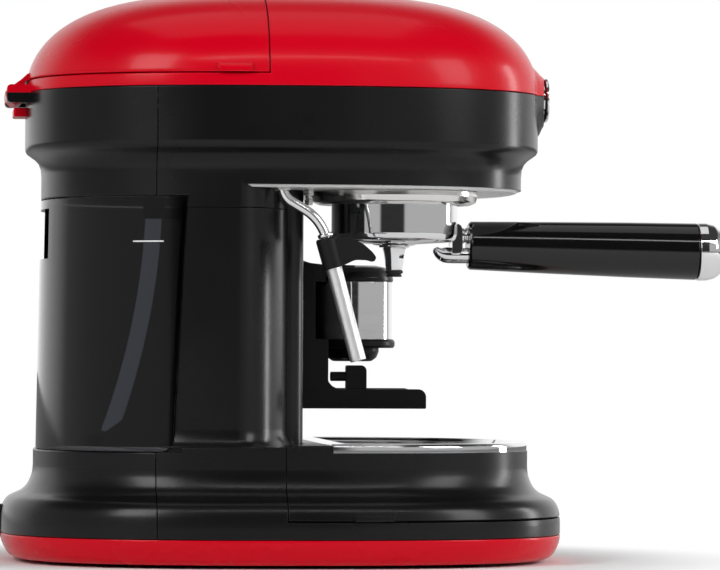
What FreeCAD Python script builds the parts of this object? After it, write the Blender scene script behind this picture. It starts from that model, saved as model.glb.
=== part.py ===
import FreeCAD, Part
import math
import os

from FreeCAD import Rotation, Vector

# Espresso machine with a built-in coffee grinder.
#
# Frame, in millimetres: the origin is on the worktop under the middle of the base, +Z is up,
# -Y is the front, where the portafilter handle points, and +X is the grinder's side.
# Seen from above, every housing outline is one superellipse, longer along Y than along X, so a
# level of the housing is fully given by its half-length and its height.

# ---- driving dimensions -------------------------------------------------------------------
WIDTH_RATIO = 0.87           # half-width of an outline over its half-length
OUTLINE_POWER = 2.65         # squareness of the outlines
OUTLINE_POINTS = 16
WALL = 3.0                   # moulded housing wall
ACROSS = (-180.0, 180.0)     # limits beyond either side of the machine
GAP = 0.5                    # open seam between mouldings that come apart

# base, from the worktop up
FOOT_HEIGHT = 6.0
PAN_BOTTOM = 2.0
PAN_TOP = 16.0
PAN_LEVELS = [(150.5, PAN_BOTTOM), (154.0, 4.0), (156.6, 8.0), (158.1, 12.0), (158.5, PAN_TOP)]
BASE_SKIRT = 158.5
BASE_WALL = 140.0
BASE_FLARE = [(BASE_SKIRT, 22.0), (158.1, 27.5), (156.9, 32.0), (154.2, 35.6), (150.3, 37.6),
              (146.6, 39.4), (143.5, 42.4), (141.6, 46.0), (140.4, 49.8), (BASE_WALL, 54.0)]
SHELF_TOP = 66.0             # under the column
TANK_SHELF = 63.0            # under the water tank
SHELL_SEAM = 76.0            # where the front and rear mouldings meet, base and head alike
GLAND_X = 0.0                # outlet for the mains lead, in the rear wall
GLAND_Z = 22.0
GLAND_BORE = 3.9

# drip tray, which is the front of the base
TRAY_REAR = 5.5
TRAY_BOTTOM = 26.0
TRAY_TOP = 63.0
TRAY_DECK_TOP = 67.0
GRID_REAR = -20.5
GRID_TOP = 68.0

# column
NECK = 136.0                 # half-length of the head's neck, the column and the tank
COLUMN_TOP = 197.5
COLUMN_CENTRE_Y = 40.0
COLUMN_DEPTH = 43.0
COLUMN_WIDTH = 118.4
COLUMN_FOOT = [(3.6, SHELF_TOP), (2.2, 67.6), (1.1, 69.6), (0.3, 72.4), (0.0, 76.0)]
PANEL_FRONT = -8.6
PANEL_X = (-70.0, 96.0)
PANEL_CORNER = 11.0

# water tank
TANK_BOTTOM = 63.4
TANK_TOP = 203.0
TANK_WALL = 2.4
TANK_FLARE = 138.6           # half-length at the foot of the tank
TANK_FACE_TOP = 59.3         # where the sloping front face is at the tank's top
TANK_FACE_BOTTOM = 67.2
TANK_CORNER = 7.0

# head
HEAD = 145.3
HEAD_BOTTOM = 210.0
HEAD_TOP = 263.5
NECK_BOTTOM_REAR = 203.6
HEAD_STEP = [(HEAD, 234.0), (145.2, 231.9), (144.3, 230.4), (142.4, 229.0), (139.8, 227.2),
             (137.6, 224.8), (136.4, 221.6), (NECK, 217.5)]
PLATE_BOTTOM = 208.6

# top cover and lid
BAND_TOP = 270.4
LID_BOTTOM = 271.0
LID_FRONT = 15.8
COVER_REAR = 15.0
CROWN = 320.0
DOME_WALL = 2.6
DOME_SIDE_POWER = 3.6        # squareness of the dome's profile, along and up
DOME_RISE_POWER = 2.15
DOME_SHARES = (1.0, 0.99, 0.97, 0.945, 0.91, 0.87, 0.82, 0.75, 0.66, 0.55, 0.42, 0.28, 0.14, 0.0)
DECK_BOTTOM = HEAD_TOP
DECK_TOP = 266.0
FILLER = (-72.0, 66.0)       # service opening in the deck
FILLER_RADIUS = 14.0

# lid hinge, at the rear
HINGE_Y = 151.5
HINGE_Z = 262.8
LUG_RADIUS = 5.1
LUG_X = (22.0, 34.0)
ARM_RADIUS = 5.6
HINGE_PIN_RADIUS = 2.0

# brewing group and portafilter
GROUP_X = -50.0
GROUP_Y = -60.5
COLLAR_RADIUS = 46.6
COLLAR_BOTTOM = 200.9
CUP_RADIUS = 35.5
CUP_BOTTOM = 180.2
CUP_TOP = 207.0
LUG_REACH = 38.6
LEDGE_RADIUS = 36.0
BAYONET_LUGS = 3

HANDLE_START = -102.0
HANDLE_END = -232.0
HANDLE_Z_START = 178.5
HANDLE_Z_END = 175.9
HANDLE_R_START = 13.6
HANDLE_R_END = 16.1
CAP_END = -248.0

# grinder outlet and the fork that holds the portafilter under it
OUTLET_X = 50.0
OUTLET_Y = -46.0
OUTLET_RADIUS = 23.2
OUTLET_TOP = 159.0
OUTLET_BOTTOM = 125.8
LOWER_PLATE = 120.8
FORK_BOTTOM = 86.0
FORK_TOP = 97.2
FORK_FRONT = -84.9
FORK_HALF = 44.0
FORK_SLOT = 36.2
FORK_SLOT_Y = -50.4
CHEEK_FRONT = -28.5
BRACKET_FRONT = -21.0
BRACKET_TOP = 168.0
LEVER_Y = (-50.6, -38.8)
LEVER_TOP = 110.8
LEVER_X = 9.8
LEVER_TRAVEL = 4.0
PIN_Z = 104.4
PIN_RADIUS = 2.7
PIN_REAR = -29.9

# steam wand
WAND_X = -106.0
WAND_Y = 6.7
WAND_RADIUS = 2.8
WAND_AXIS = (-17.0, 182.0)   # top of the lower, leaning length, as (y, z)
WAND_LEAN = 15.0
WAND_BENDS = (9.5, 26.0)
SLEEVE_RADIUS = 4.4
NUT_RADIUS = 4.6
FITTING = (-84.0, -9.4)      # small fitting beside the wand

# controls on the front of the head: four push buttons in one plate with a chrome bezel
BEZEL_Z = 262.0
BEZEL_HALF_X = 36.0
BEZEL_HALF_Z = 12.5
BEZEL_FRONT = -150.4
NOSE = 148.7                 # half-length of the plan that the nose's front follows
NOSE_LEVELS = [(-151.0, 249.0, 273.4, 35.6), (-149.4, 248.6, 273.6, 36.0), (-148.8, 247.9, 273.9, 36.6),
               (-148.0, 247.0, 274.4, 37.4), (-147.2, 245.8, 275.0, 38.4), (-146.6, 244.8, 275.6, 39.4),
               (-146.0, 243.5, 276.1, 40.5), (-145.2, 241.8, 276.8, 42.0), (-143.8, 240.0, 278.1, 44.4),
               (-142.0, 238.4, 279.8, 47.0), (-140.2, 237.3, 281.6, 50.0), (-138.0, 236.4, 283.8, 53.0),
               (-132.0, 235.4, 288.0, 58.0)]   # (y, low z, high z, half x)
PLATE_FRONT = -149.0
PLATE_BACK = -145.8
BUTTON_X = (-24.0, -8.0, 8.0, 24.0)
BUTTON_RADIUS = 5.4
BUTTON_FACE = -150.3
BUTTON_TRAVEL = 1.6
BUTTON_LENGTH = 12.0

# grinder, inside the column, and the bean hopper above it
GRINDER_X = 40.0
GRINDER_Y = 28.0
HOPPER_X = 32.0
HOPPER_Y = 72.0


# ---- helpers ------------------------------------------------------------------------------
def box(x, y, z):
    """Block between two limits along each axis."""
    return Part.makeBox(x[1] - x[0], y[1] - y[0], z[1] - z[0], Vector(x[0], y[0], z[0]))


def drum(x, y, radius, z):
    """Upright cylinder between two heights."""
    return Part.makeCylinder(radius, z[1] - z[0], Vector(x, y, z[0]))


def oval(half_y, half_x, z, centre=(0.0, 0.0), power=OUTLINE_POWER):
    """Closed superellipse wire at one height."""
    points = []
    for step in range(OUTLINE_POINTS):
        angle = 2.0 * math.pi * step / OUTLINE_POINTS
        c, s = math.cos(angle), math.sin(angle)
        r = (abs(c) ** power + abs(s) ** power) ** (-1.0 / power)
        points.append(Vector(centre[0] + half_x * r * c, centre[1] + half_y * r * s, z))
    curve = Part.BSplineCurve()
    curve.interpolate(points, PeriodicFlag=True)
    return Part.Wire([curve.toShape()])


def plan_curve():
    """Closed curve of the housing's plan, for a half-length of one."""
    points = []
    for step in range(OUTLINE_POINTS):
        angle = 2.0 * math.pi * step / OUTLINE_POINTS
        c, s = math.cos(angle), math.sin(angle)
        r = (abs(c) ** OUTLINE_POWER + abs(s) ** OUTLINE_POWER) ** (-1.0 / OUTLINE_POWER)
        points.append(Vector(WIDTH_RATIO * r * c, r * s, 0))
    curve = Part.BSplineCurve()
    curve.interpolate(points, PeriodicFlag=True)
    return curve


def side_face(levels):
    """Smooth wall: the plan curve, scaled along a profile of (half-length, height) points."""
    plan = plan_curve()
    profile = Part.BSplineCurve()
    profile.interpolate([Vector(a, 0, z) for a, z in levels])
    poles = [[Vector(p.x * q.x, p.y * q.x, q.z) for q in profile.getPoles()] for p in plan.getPoles()]
    wall = Part.BSplineSurface()
    wall.buildFromPolesMultsKnots(poles, plan.getMultiplicities(), profile.getMultiplicities(),
                                  plan.getKnots(), profile.getKnots(), True, False,
                                  plan.Degree, profile.Degree)
    return wall.toShape()


def tier(levels):
    """Solid inside a smooth wall, closed by flat faces where its ends aren't points."""
    wall = side_face(levels)
    faces = [wall]
    for a, z in (levels[0], levels[-1]):
        rings = [e for e in wall.Edges if a > 0 and e.Length > a and abs(e.BoundBox.ZLength) < 0.01]
        faces += [Part.Face(Part.Wire([e])) for e in rings if abs(e.CenterOfMass.z - z) < 0.01]
    shell = Part.makeShell(faces)
    shell.sewShape()
    return Part.makeSolid(shell if shell.ShapeType == "Shell" else shell.Shells[0])


def prism(points, x):
    """Profile in the YZ plane, given as (y, z), extruded between two X limits."""
    wire = Part.makePolygon([Vector(x[0], y, z) for y, z in points + points[:1]])
    return Part.Face(wire).extrude(Vector(x[1] - x[0], 0, 0))


def slab(points, z):
    """Profile in the XY plane, given as (x, y), extruded between two heights."""
    wire = Part.makePolygon([Vector(x, y, z[0]) for x, y in points + points[:1]])
    return Part.Face(wire).extrude(Vector(0, 0, z[1] - z[0]))


def turned(profile, x=0.0, y=0.0):
    """Solid of revolution about an upright axis from (radius, height) points."""
    points = [Vector(x + r, y, z) for r, z in profile]
    face = Part.Face(Part.makePolygon(points + points[:1]))
    return face.revolve(Vector(x, y, 0), Vector(0, 0, 1), 360)


def rod(start, end, radius):
    """Round bar between two points."""
    start, end = Vector(*start), Vector(*end)
    return Part.makeCylinder(radius, (end - start).Length, start, end - start)


def fuse(shapes):
    return shapes[0].fuse(list(shapes[1:]))


def edges_where(shape, test):
    return [edge for edge in shape.Edges if test(edge.CenterOfMass, edge)]


def rounded(shape, radius, test):
    """Fillet the edges whose middle passes the test."""
    return shape.makeFillet(radius, edges_where(shape, test))


def stadium(half_x, half_z, y, x=0.0, z=0.0):
    """Wire of two straight runs and two half circles in the XZ plane."""
    run = half_x - half_z
    top_left, top_right = Vector(x - run, y, z + half_z), Vector(x + run, y, z + half_z)
    low_right, low_left = Vector(x + run, y, z - half_z), Vector(x - run, y, z - half_z)
    right = Part.Arc(top_right, Vector(x + half_x, y, z), low_right).toShape()
    left = Part.Arc(low_left, Vector(x - half_x, y, z), top_left).toShape()
    top = Part.LineSegment(top_left, top_right).toShape()
    low = Part.LineSegment(low_right, low_left).toShape()
    return Part.Wire([top, right, low, left])


# ---- shared envelopes ---------------------------------------------------------------------
def base_body(inset=0.0):
    """Everything inside the base's outline, from the red pan up to the shelf."""
    skirt = tier([(BASE_SKIRT - inset, PAN_TOP), (BASE_SKIRT - inset, BASE_FLARE[0][1])])
    flare = tier([(a - inset, z) for a, z in BASE_FLARE])
    wall = tier([(BASE_WALL - inset, BASE_FLARE[-1][1]), (BASE_WALL - inset, SHELF_TOP)])
    return fuse([skirt, flare, wall])


def head_body(inset=0.0):
    """Everything inside the head's outline, from the neck up to the red cover."""
    neck = tier([(NECK - inset, COLUMN_TOP), (NECK - inset, HEAD_STEP[-1][1])])
    step = tier([(a - inset, z) for a, z in HEAD_STEP])
    wall = tier([(HEAD - inset, HEAD_STEP[0][1]), (HEAD - inset, HEAD_TOP)])
    return fuse([neck, step, wall])


def dome_body(inset=0.0):
    """Everything under the red cover, down to the top of the head."""
    levels = []
    for share in DOME_SHARES:
        rise = (1.0 - share ** DOME_SIDE_POWER) ** (1.0 / DOME_RISE_POWER)
        levels.append(((HEAD - inset) * share, HEAD_TOP + (CROWN - HEAD_TOP - inset) * rise))
    return tier(levels)


def tank_face(offset=0.0):
    """Half space behind the tank's sloping front face, with its rounded foot."""
    slope = (TANK_FACE_BOTTOM - TANK_FACE_TOP) / (TANK_TOP - TANK_BOTTOM)
    low = TANK_FACE_BOTTOM + offset
    high = low - slope * (COLUMN_TOP + 20.0 - TANK_BOTTOM)
    floor = TANK_BOTTOM + offset
    points = [(low, floor), (high, COLUMN_TOP + 20.0), (180.0, COLUMN_TOP + 20.0), (180.0, floor)]
    solid = prism(points, (-140.0, 140.0))
    return rounded(solid, TANK_CORNER, lambda c, e: abs(c.y - low) < 0.1 and abs(c.z - floor) < 0.1)


def tank_body(inset=0.0):
    """The tank's outer form, or its inside when inset by the wall."""
    sides = tier([(TANK_FLARE - inset, TANK_BOTTOM - 1.0), (NECK - inset, COLUMN_TOP + 15.0)])
    return sides.common(tank_face(inset))


def column_plan(levels, inset=0.0):
    """Column between heights: neck outline behind, one broad curve in front."""
    sides = tier([(NECK + grow - inset, z) for grow, z in levels])
    fronts = []
    for grow, z in levels:
        depth, width = COLUMN_DEPTH + grow - inset, COLUMN_WIDTH + grow - inset
        fronts.append(oval(depth, width, z, (0.0, COLUMN_CENTRE_Y)))
    low, high = min(z for _, z in levels), max(z for _, z in levels)
    front = Part.makeLoft(fronts, True, False)
    front = front.common(box((-140.0, 140.0), (-80.0, COLUMN_CENTRE_Y), (low, high)))
    rear = box((-140.0, 140.0), (COLUMN_CENTRE_Y, SHELL_SEAM), (low, high))
    return sides.common(front.fuse(rear))


def panel_block(z, grow=0.0):
    """Splash panel's footprint, from its face back into the column."""
    x = (PANEL_X[0] - grow, PANEL_X[1] + grow)
    block = box(x, (PANEL_FRONT - grow, COLUMN_CENTRE_Y - 8.0), z)
    front = PANEL_FRONT - grow
    middle = sum(z) / 2.0
    return rounded(block, PANEL_CORNER, lambda c, e: abs(c.y - front) < 0.1 and abs(c.z - middle) < 0.1)


def behind_tray(grow=0.0):
    """Ground that stays with the base behind the drip tray: the shelf, column and panel."""
    reach = COLUMN_FOOT[0][0] + 1.0 + grow
    z = (TRAY_BOTTOM - 1.0, TRAY_DECK_TOP + 2.0)
    depth, width = COLUMN_DEPTH + reach, COLUMN_WIDTH + reach
    foot = Part.Face(oval(depth, width, z[0], (0.0, COLUMN_CENTRE_Y))).extrude(Vector(0, 0, z[1] - z[0]))
    shelf = box(ACROSS, (TRAY_REAR - grow, 180.0), z)
    return fuse([shelf, foot, panel_block(z, 1.0 + grow)])


# ---- base ---------------------------------------------------------------------------------
def base_pan():
    """Red dish that carries the machine, with pockets for the feet."""
    dish = tier(PAN_LEVELS)
    inside = tier([(a - WALL, z + WALL) for a, z in PAN_LEVELS])
    pan = dish.cut(inside)
    bosses = [drum(x, y, 12.0, (PAN_BOTTOM, PAN_TOP - 1.0)) for x, y in foot_places()]
    pan = pan.fuse(bosses)
    pockets = [drum(x, y, 9.0, (PAN_BOTTOM - 1.0, PAN_BOTTOM + 3.0)) for x, y in foot_places()]
    screws = [drum(x, y, 2.1, (PAN_BOTTOM, PAN_TOP)) for x, y in foot_places()]
    return pan.cut(pockets + screws)


def foot_places():
    return [(x, y) for x in (-88.0, 88.0) for y in (-98.0, 98.0)]


def feet():
    """Four rubber feet, each with a hollow for its screw."""
    shapes = []
    for x, y in foot_places():
        foot = turned([(0.0, 0.0), (7.6, 0.0), (8.8, 1.2), (8.8, 5.0), (0.0, 5.0)], x, y)
        shapes.append(foot.cut(drum(x, y, 3.4, (-1.0, 2.6))))
    return Part.makeCompound(shapes)


def base_front():
    """Black base under the column and the drip tray."""
    body = base_body()
    low = body.common(box(ACROSS, (-180.0, SHELL_SEAM), (PAN_TOP, TRAY_BOTTOM - GAP)))
    high = body.common(behind_tray()).common(box(ACROSS, (-60.0, SHELL_SEAM), (20.0, 70.0)))
    solid = low.fuse(high)
    inside = base_body(WALL)
    low_z = (PAN_TOP - 1.0, TRAY_BOTTOM - WALL)
    high_z = (PAN_TOP - 1.0, TANK_SHELF - WALL)
    front_void = inside.common(box(ACROSS, (-180.0, -22.0), low_z))
    rear_void = inside.common(box(ACROSS, (TRAY_REAR + WALL, SHELL_SEAM - 4.0), high_z))
    notch = box(ACROSS, (62.0, 180.0), (TANK_SHELF, 80.0))
    return solid.cut([front_void, rear_void, notch]).removeSplitter()


def base_rear():
    """Black base under the water tank."""
    body = base_body().common(box(ACROSS, (SHELL_SEAM, 180.0), (PAN_TOP, TANK_SHELF)))
    void = base_body(WALL).common(box(ACROSS, (SHELL_SEAM + 4.0, 180.0), (PAN_TOP - 1.0, TANK_SHELF - WALL)))
    gland_hole = rod((GLAND_X, 140.0, GLAND_Z), (GLAND_X, 170.0, GLAND_Z), GLAND_BORE)
    return body.cut([void, gland_hole])


def cord_gland():
    """Outlet boss for the mains lead, at the foot of the rear wall."""
    boss = rod((GLAND_X, 138.0, GLAND_Z), (GLAND_X, 159.6, GLAND_Z), 9.6)
    over_pan = tier([(BASE_SKIRT + 0.1, 10.0), (BASE_SKIRT + 0.1, PAN_TOP)])
    boss = boss.cut([base_body(), over_pan])
    return boss.cut(rod((GLAND_X, 130.0, GLAND_Z), (GLAND_X, 170.0, GLAND_Z), GLAND_BORE))


def drip_tray():
    """Removable tray: the front of the base, hollow, with a closed deck at the back."""
    front = box(ACROSS, (-180.0, 20.0), (TRAY_BOTTOM, TRAY_TOP))
    body = base_body().common(front)
    top = TRAY_DECK_TOP
    deck = tier([(BASE_WALL, TRAY_TOP - 1.0), (BASE_WALL, top - 1.4), (BASE_WALL - 1.4, top)])
    deck = deck.common(box(ACROSS, (GRID_REAR + 0.5, 20.0), (TRAY_TOP - 1.0, TRAY_DECK_TOP)))
    solid = body.fuse(deck).cut(behind_tray(GAP))
    inside = base_body(WALL).common(box(ACROSS, (-180.0, 20.0), (TRAY_BOTTOM + 2.6, top - WALL)))
    inside = inside.cut(behind_tray(GAP + WALL))
    tray = solid.cut(inside)
    tabs = []
    for side in (-1.0, 1.0):
        reach = tier([(BASE_SKIRT + 2.8, TRAY_BOTTOM), (BASE_SKIRT + 2.0, TRAY_BOTTOM + 3.8)])
        x = sorted((side * 130.0, side * 150.0))
        tab = reach.common(box(x, (-51.5, -32.0), (TRAY_BOTTOM, TRAY_BOTTOM + 3.8)))
        tabs.append(tab.cut(base_body(1.0)))
    return fuse([tray] + tabs)


def drip_grid():
    """Chrome grid that rests on the tray's wall, with rows of slots."""
    rear = box(ACROSS, (-180.0, GRID_REAR), (TRAY_TOP, GRID_TOP))
    rim = tier([(BASE_WALL - 0.4, TRAY_TOP), (BASE_WALL - 0.4, GRID_TOP - 1.6), (BASE_WALL - 2.0, GRID_TOP)])
    rim = rim.common(rear)
    well = tier([(BASE_WALL - 9.0, GRID_TOP - 2.2), (BASE_WALL - 9.0, GRID_TOP + 1.0)])
    well = well.common(box(ACROSS, (-180.0, GRID_REAR - 9.0), (0.0, 100.0)))
    under = tier([(BASE_WALL - WALL - 0.6, TRAY_TOP - 1.0), (BASE_WALL - WALL - 0.6, GRID_TOP - 4.0)])
    under = under.common(box(ACROSS, (-180.0, GRID_REAR - 2.5), (0.0, 100.0)))
    grid = rim.cut([well, under])
    slots = []
    for row in range(5):
        y = -42.0 - row * 20.0
        half = 92.0 - (0.0, 2.0, 8.0, 20.0, 44.0)[row]
        count = int(2 * half // 13.0)
        for step in range(count):
            x = (step - (count - 1) / 2.0) * 13.0
            slot = box((x - 2.0, x + 2.0), (y - 7.0, y + 7.0), (GRID_TOP - 5.0, GRID_TOP))
            slots.append(slot)
    return grid.cut(slots)


# ---- column -------------------------------------------------------------------------------
def column_shell():
    """Hollow column, moulded with a flared foot, closed towards the tank."""
    shaft = column_plan([(0.0, COLUMN_FOOT[-1][1]), (0.0, COLUMN_TOP - GAP)])
    foot = column_plan(COLUMN_FOOT)
    heel = column_plan([(0.0, TANK_SHELF), (0.0, 80.0)])
    heel = heel.common(box(ACROSS, (62.0, 80.0), (TANK_SHELF, 80.0)))
    solid = shaft.fuse([foot, heel]).cut(tank_body(-GAP))
    hollow = column_plan([(0.0, SHELF_TOP + WALL), (0.0, COLUMN_TOP + 5.0)], WALL)
    hollow = hollow.cut(tank_body(-GAP - WALL))
    chute_hole = box((OUTLET_X - 11.0, OUTLET_X + 11.0), (-30.0, 12.0), (161.0, 171.0))
    return solid.cut([hollow, chute_hole])


def splash_panel():
    """Flat panel on the column's front, behind the cups."""
    block = panel_block((SHELF_TOP, PLATE_BOTTOM))
    core = column_plan([(0.0, SHELF_TOP - 1.0), (0.0, HEAD_BOTTOM)])
    foot = column_plan(COLUMN_FOOT)
    panel = block.cut(core.fuse(foot))
    hollow = panel_block((SHELF_TOP + WALL, PLATE_BOTTOM - WALL), -WALL)
    chute_hole = box((OUTLET_X - 11.0, OUTLET_X + 11.0), (-30.0, 12.0), (161.0, 171.0))
    return panel.cut([hollow, chute_hole])


# ---- head ---------------------------------------------------------------------------------
def nose_body():
    """Trumpet that draws the front of the head and cover out to the bezel."""
    wires = []
    for y, low, high, half_x in NOSE_LEVELS:
        wires.append(stadium(half_x, (high - low) / 2.0, y, 0.0, (high + low) / 2.0))
    trumpet = Part.makeLoft(wires, True, True)
    return trumpet.common(tier([(NOSE, 230.0), (NOSE, 292.0)]))


def bezel_window():
    """Opening in the head and cover for the bezel's stem."""
    window = Part.Face(stadium(BEZEL_HALF_X - 3.0, BEZEL_HALF_Z - 3.0, -160.0, 0.0, BEZEL_Z))
    return window.extrude(Vector(0, 32.0, 0))


def head_front():
    """Front of the head, with the skirt that covers the top of the column."""
    brow = HEAD_BOTTOM + WALL
    body = head_body()
    ahead = body.common(box(ACROSS, (-180.0, SHELL_SEAM), (HEAD_BOTTOM, HEAD_TOP)))
    over_tank = body.common(box(ACROSS, (COLUMN_CENTRE_Y, SHELL_SEAM), (NECK_BOTTOM_REAR, HEAD_BOTTOM + 1.0)))
    column = column_plan([(0.0, COLUMN_TOP), (0.0, brow)])
    solid = fuse([ahead, over_tank, column.cut(tank_body(-GAP))])
    inside = head_body(WALL)
    above = inside.common(box(ACROSS, (-180.0, SHELL_SEAM + 1.0), (brow, HEAD_TOP + 1.0)))
    nose = inside.common(box(ACROSS, (-180.0, COLUMN_CENTRE_Y), (HEAD_BOTTOM - 1.0, brow + 0.1)))
    nose = nose.cut(column)
    rear = inside.common(box(ACROSS, (55.0, SHELL_SEAM + 1.0), (NECK_BOTTOM_REAR + WALL, brow + 0.1)))
    shaft = column_plan([(0.0, COLUMN_TOP - 1.0), (0.0, brow + 0.1)], WALL)
    shaft = shaft.common(box(ACROSS, (-20.0, 55.6), (COLUMN_TOP - 1.0, brow + 0.1)))
    trumpet = nose_body().common(box(ACROSS, (-180.0, -134.0), (HEAD_BOTTOM, HEAD_TOP))).cut(inside)
    return solid.cut([above, nose, rear, shaft]).fuse(trumpet).cut(bezel_window())


def head_rear():
    """Rear of the head, over the tank, with the lower halves of the hinge lugs."""
    zone = box(ACROSS, (SHELL_SEAM, 180.0), (NECK_BOTTOM_REAR, HEAD_TOP))
    room = box(ACROSS, (SHELL_SEAM - 1.0, 180.0), (NECK_BOTTOM_REAR + WALL, HEAD_TOP + 1.0))
    solid = head_body().common(zone).cut(head_body(WALL).common(room))
    lugs = [lug.common(box((-60.0, 60.0), (130.0, 170.0), (240.0, HEAD_TOP))) for lug in hinge_lugs()]
    return fuse([solid] + lugs).cut(hinge_bore())


def hinge_lugs():
    """Two round-nosed lugs that stand out of the rear wall."""
    lugs = []
    for side in (-1.0, 1.0):
        x = sorted((side * LUG_X[0], side * LUG_X[1]))
        nose = rod((x[0], HINGE_Y, HINGE_Z), (x[1], HINGE_Y, HINGE_Z), LUG_RADIUS)
        bar = box(x, (136.0, HINGE_Y), (HINGE_Z - LUG_RADIUS, HINGE_Z + LUG_RADIUS))
        lugs.append(nose.fuse(bar).cut(tier([(HEAD - 1.0, 240.0), (HEAD - 1.0, 280.0)])))
    return lugs


def hinge_bore(radius=HINGE_PIN_RADIUS):
    return rod((-LUG_X[1] + 2.0, HINGE_Y, HINGE_Z), (LUG_X[1] - 2.0, HINGE_Y, HINGE_Z), radius)


def hinge_pin():
    return hinge_bore()


def lid_stop():
    """Block on the rear wall that the open lid's arm comes to rest on."""
    block = box((-15.0, 15.0), (140.0, 152.5), (250.6, 255.6))
    block = rounded(block, 1.2, lambda c, e: c.y > 152.0)
    return block.cut(head_body())


def head_plate():
    """Grey plate that closes the head from below, in front of the column."""
    plate = tier([(NECK - 3.0, PLATE_BOTTOM), (NECK - 2.0, PLATE_BOTTOM + 0.8), (NECK - 1.4, HEAD_BOTTOM)])
    plate = plate.common(box(ACROSS, (-180.0, COLUMN_CENTRE_Y), (PLATE_BOTTOM, HEAD_BOTTOM)))
    column = column_plan([(0.0, COLUMN_TOP), (0.0, HEAD_BOTTOM + 3.0)])
    hole = drum(GROUP_X, GROUP_Y, COLLAR_RADIUS, (200.0, 220.0))
    wand = drum(WAND_X, WAND_Y, NUT_RADIUS, (200.0, 220.0))
    return plate.cut([column, hole, wand])


# ---- cover and lid ------------------------------------------------------------------------
def top_cover():
    """Red front half of the dome, and the low band that runs on under the lid."""
    shell = dome_body().cut(dome_body(DOME_WALL))
    front = shell.common(box(ACROSS, (-180.0, COVER_REAR), (HEAD_TOP, CROWN + 1.0)))
    band = shell.common(box(ACROSS, (COVER_REAR - 1.0, 180.0), (HEAD_TOP, BAND_TOP)))
    wall = dome_body(DOME_WALL - 0.2).common(box(ACROSS, (8.0, 10.4), (DECK_TOP, CROWN)))
    lip = dome_body(DOME_WALL + 0.4).cut(dome_body(DOME_WALL + 2.4))
    lip = lip.common(box(ACROSS, (10.0, COVER_REAR + 6.0), (DECK_TOP, CROWN)))
    rebate = tier([(HEAD - 1.6, HEAD_TOP - 1.0), (HEAD - 1.6, DECK_TOP)])
    lugs = [lug.common(box((-60.0, 60.0), (130.0, 170.0), (HEAD_TOP, 280.0))) for lug in hinge_lugs()]
    trumpet = nose_body().common(box(ACROSS, (-180.0, -134.0), (HEAD_TOP, 300.0))).cut(dome_body(DOME_WALL))
    solid = fuse([front, band, wall, lip] + lugs).cut([rebate, hinge_bore()])
    return solid.fuse(trumpet).cut(bezel_window())


def lid():
    """Red rear half of the dome with its hinge arm and finger tabs."""
    shell = dome_body().cut(dome_body(DOME_WALL))
    zone = box(ACROSS, (LID_FRONT, 180.0), (LID_BOTTOM, CROWN + 1.0))
    shell = shell.common(zone)
    barrel = rod((-LUG_X[0] + 0.5, HINGE_Y, HINGE_Z), (LUG_X[0] - 0.5, HINGE_Y, HINGE_Z), ARM_RADIUS)
    x = (-LUG_X[0] + 0.5, LUG_X[0] - 0.5)
    neck = prism([(146.2, HINGE_Z), (146.2, 270.8), (143.0, 271.0), (142.0, 275.4), (145.0, 274.2),
                  (148.2, 271.2), (152.4, 268.3), (156.0, 265.6), (157.1, HINGE_Z)], x)
    arm = barrel.fuse(neck).cut(dome_body(DOME_WALL - 0.2))
    tabs = []
    for side in (-1.0, 1.0):
        reach = tier([(HEAD + 2.8, LID_BOTTOM), (HEAD + 2.4, LID_BOTTOM + 3.0),
                      (HEAD + 0.6, LID_BOTTOM + 4.8)])
        limits = box(sorted((side * 100.0, side * 140.0)), (25.0, 43.0), (LID_BOTTOM, LID_BOTTOM + 4.8))
        tabs.append(reach.common(limits).cut(dome_body(1.0)))
    return fuse([shell, arm] + tabs).cut(hinge_bore(HINGE_PIN_RADIUS + 0.05))


def deck():
    """Black floor under the lid, with the opening for the bean hopper."""
    plate = tier([(HEAD - 1.8, DECK_BOTTOM), (HEAD - 1.8, DECK_TOP)])
    plate = plate.common(box(ACROSS, (4.0, 180.0), (DECK_BOTTOM, DECK_TOP)))
    hole = Part.Face(oval(46.6, 52.6, 250.0, (HOPPER_X, HOPPER_Y), 3.6)).extrude(Vector(0, 0, 30.0))
    return plate.cut([hole, drum(FILLER[0], FILLER[1], FILLER_RADIUS, (250.0, 280.0))])


def filler_cap():
    """Round cap over the service opening beside the hopper."""
    x, y = FILLER
    cap = turned([(0.0, DECK_TOP), (17.0, DECK_TOP), (17.0, 267.4), (15.8, 268.6), (0.0, 268.6)], x, y)
    plug = drum(x, y, FILLER_RADIUS, (DECK_BOTTOM - 2.0, DECK_TOP))
    bar = box((x - 11.0, x + 11.0), (y - 1.6, y + 1.6), (268.6, 272.6))
    bar = rounded(bar, 1.2, lambda c, e: c.z > 272.0)
    return fuse([cap, plug, bar])


def bean_hopper():
    """Clear funnel for the beans, hung by its rim from the deck."""
    def funnel(inset):
        centres = [(HOPPER_X, HOPPER_Y), (HOPPER_X, HOPPER_Y - 2.0), (GRINDER_X, GRINDER_Y + 8.0)]
        rings = [oval(46.0 - inset, 52.0 - inset, 272.0, centres[0], 3.6),
                 oval(45.0 - inset, 51.0 - inset, 250.0, centres[1], 3.4),
                 oval(18.0 - inset, 18.0 - inset, 209.0, (GRINDER_X, GRINDER_Y), 2.0)]
        return Part.makeLoft(rings, True, True)
    rim = Part.Face(oval(49.0, 55.0, DECK_TOP, (HOPPER_X, HOPPER_Y), 3.6)).extrude(Vector(0, 0, 2.0))
    body = funnel(0.0).fuse(rim)
    return body.cut(funnel(2.0))


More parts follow.
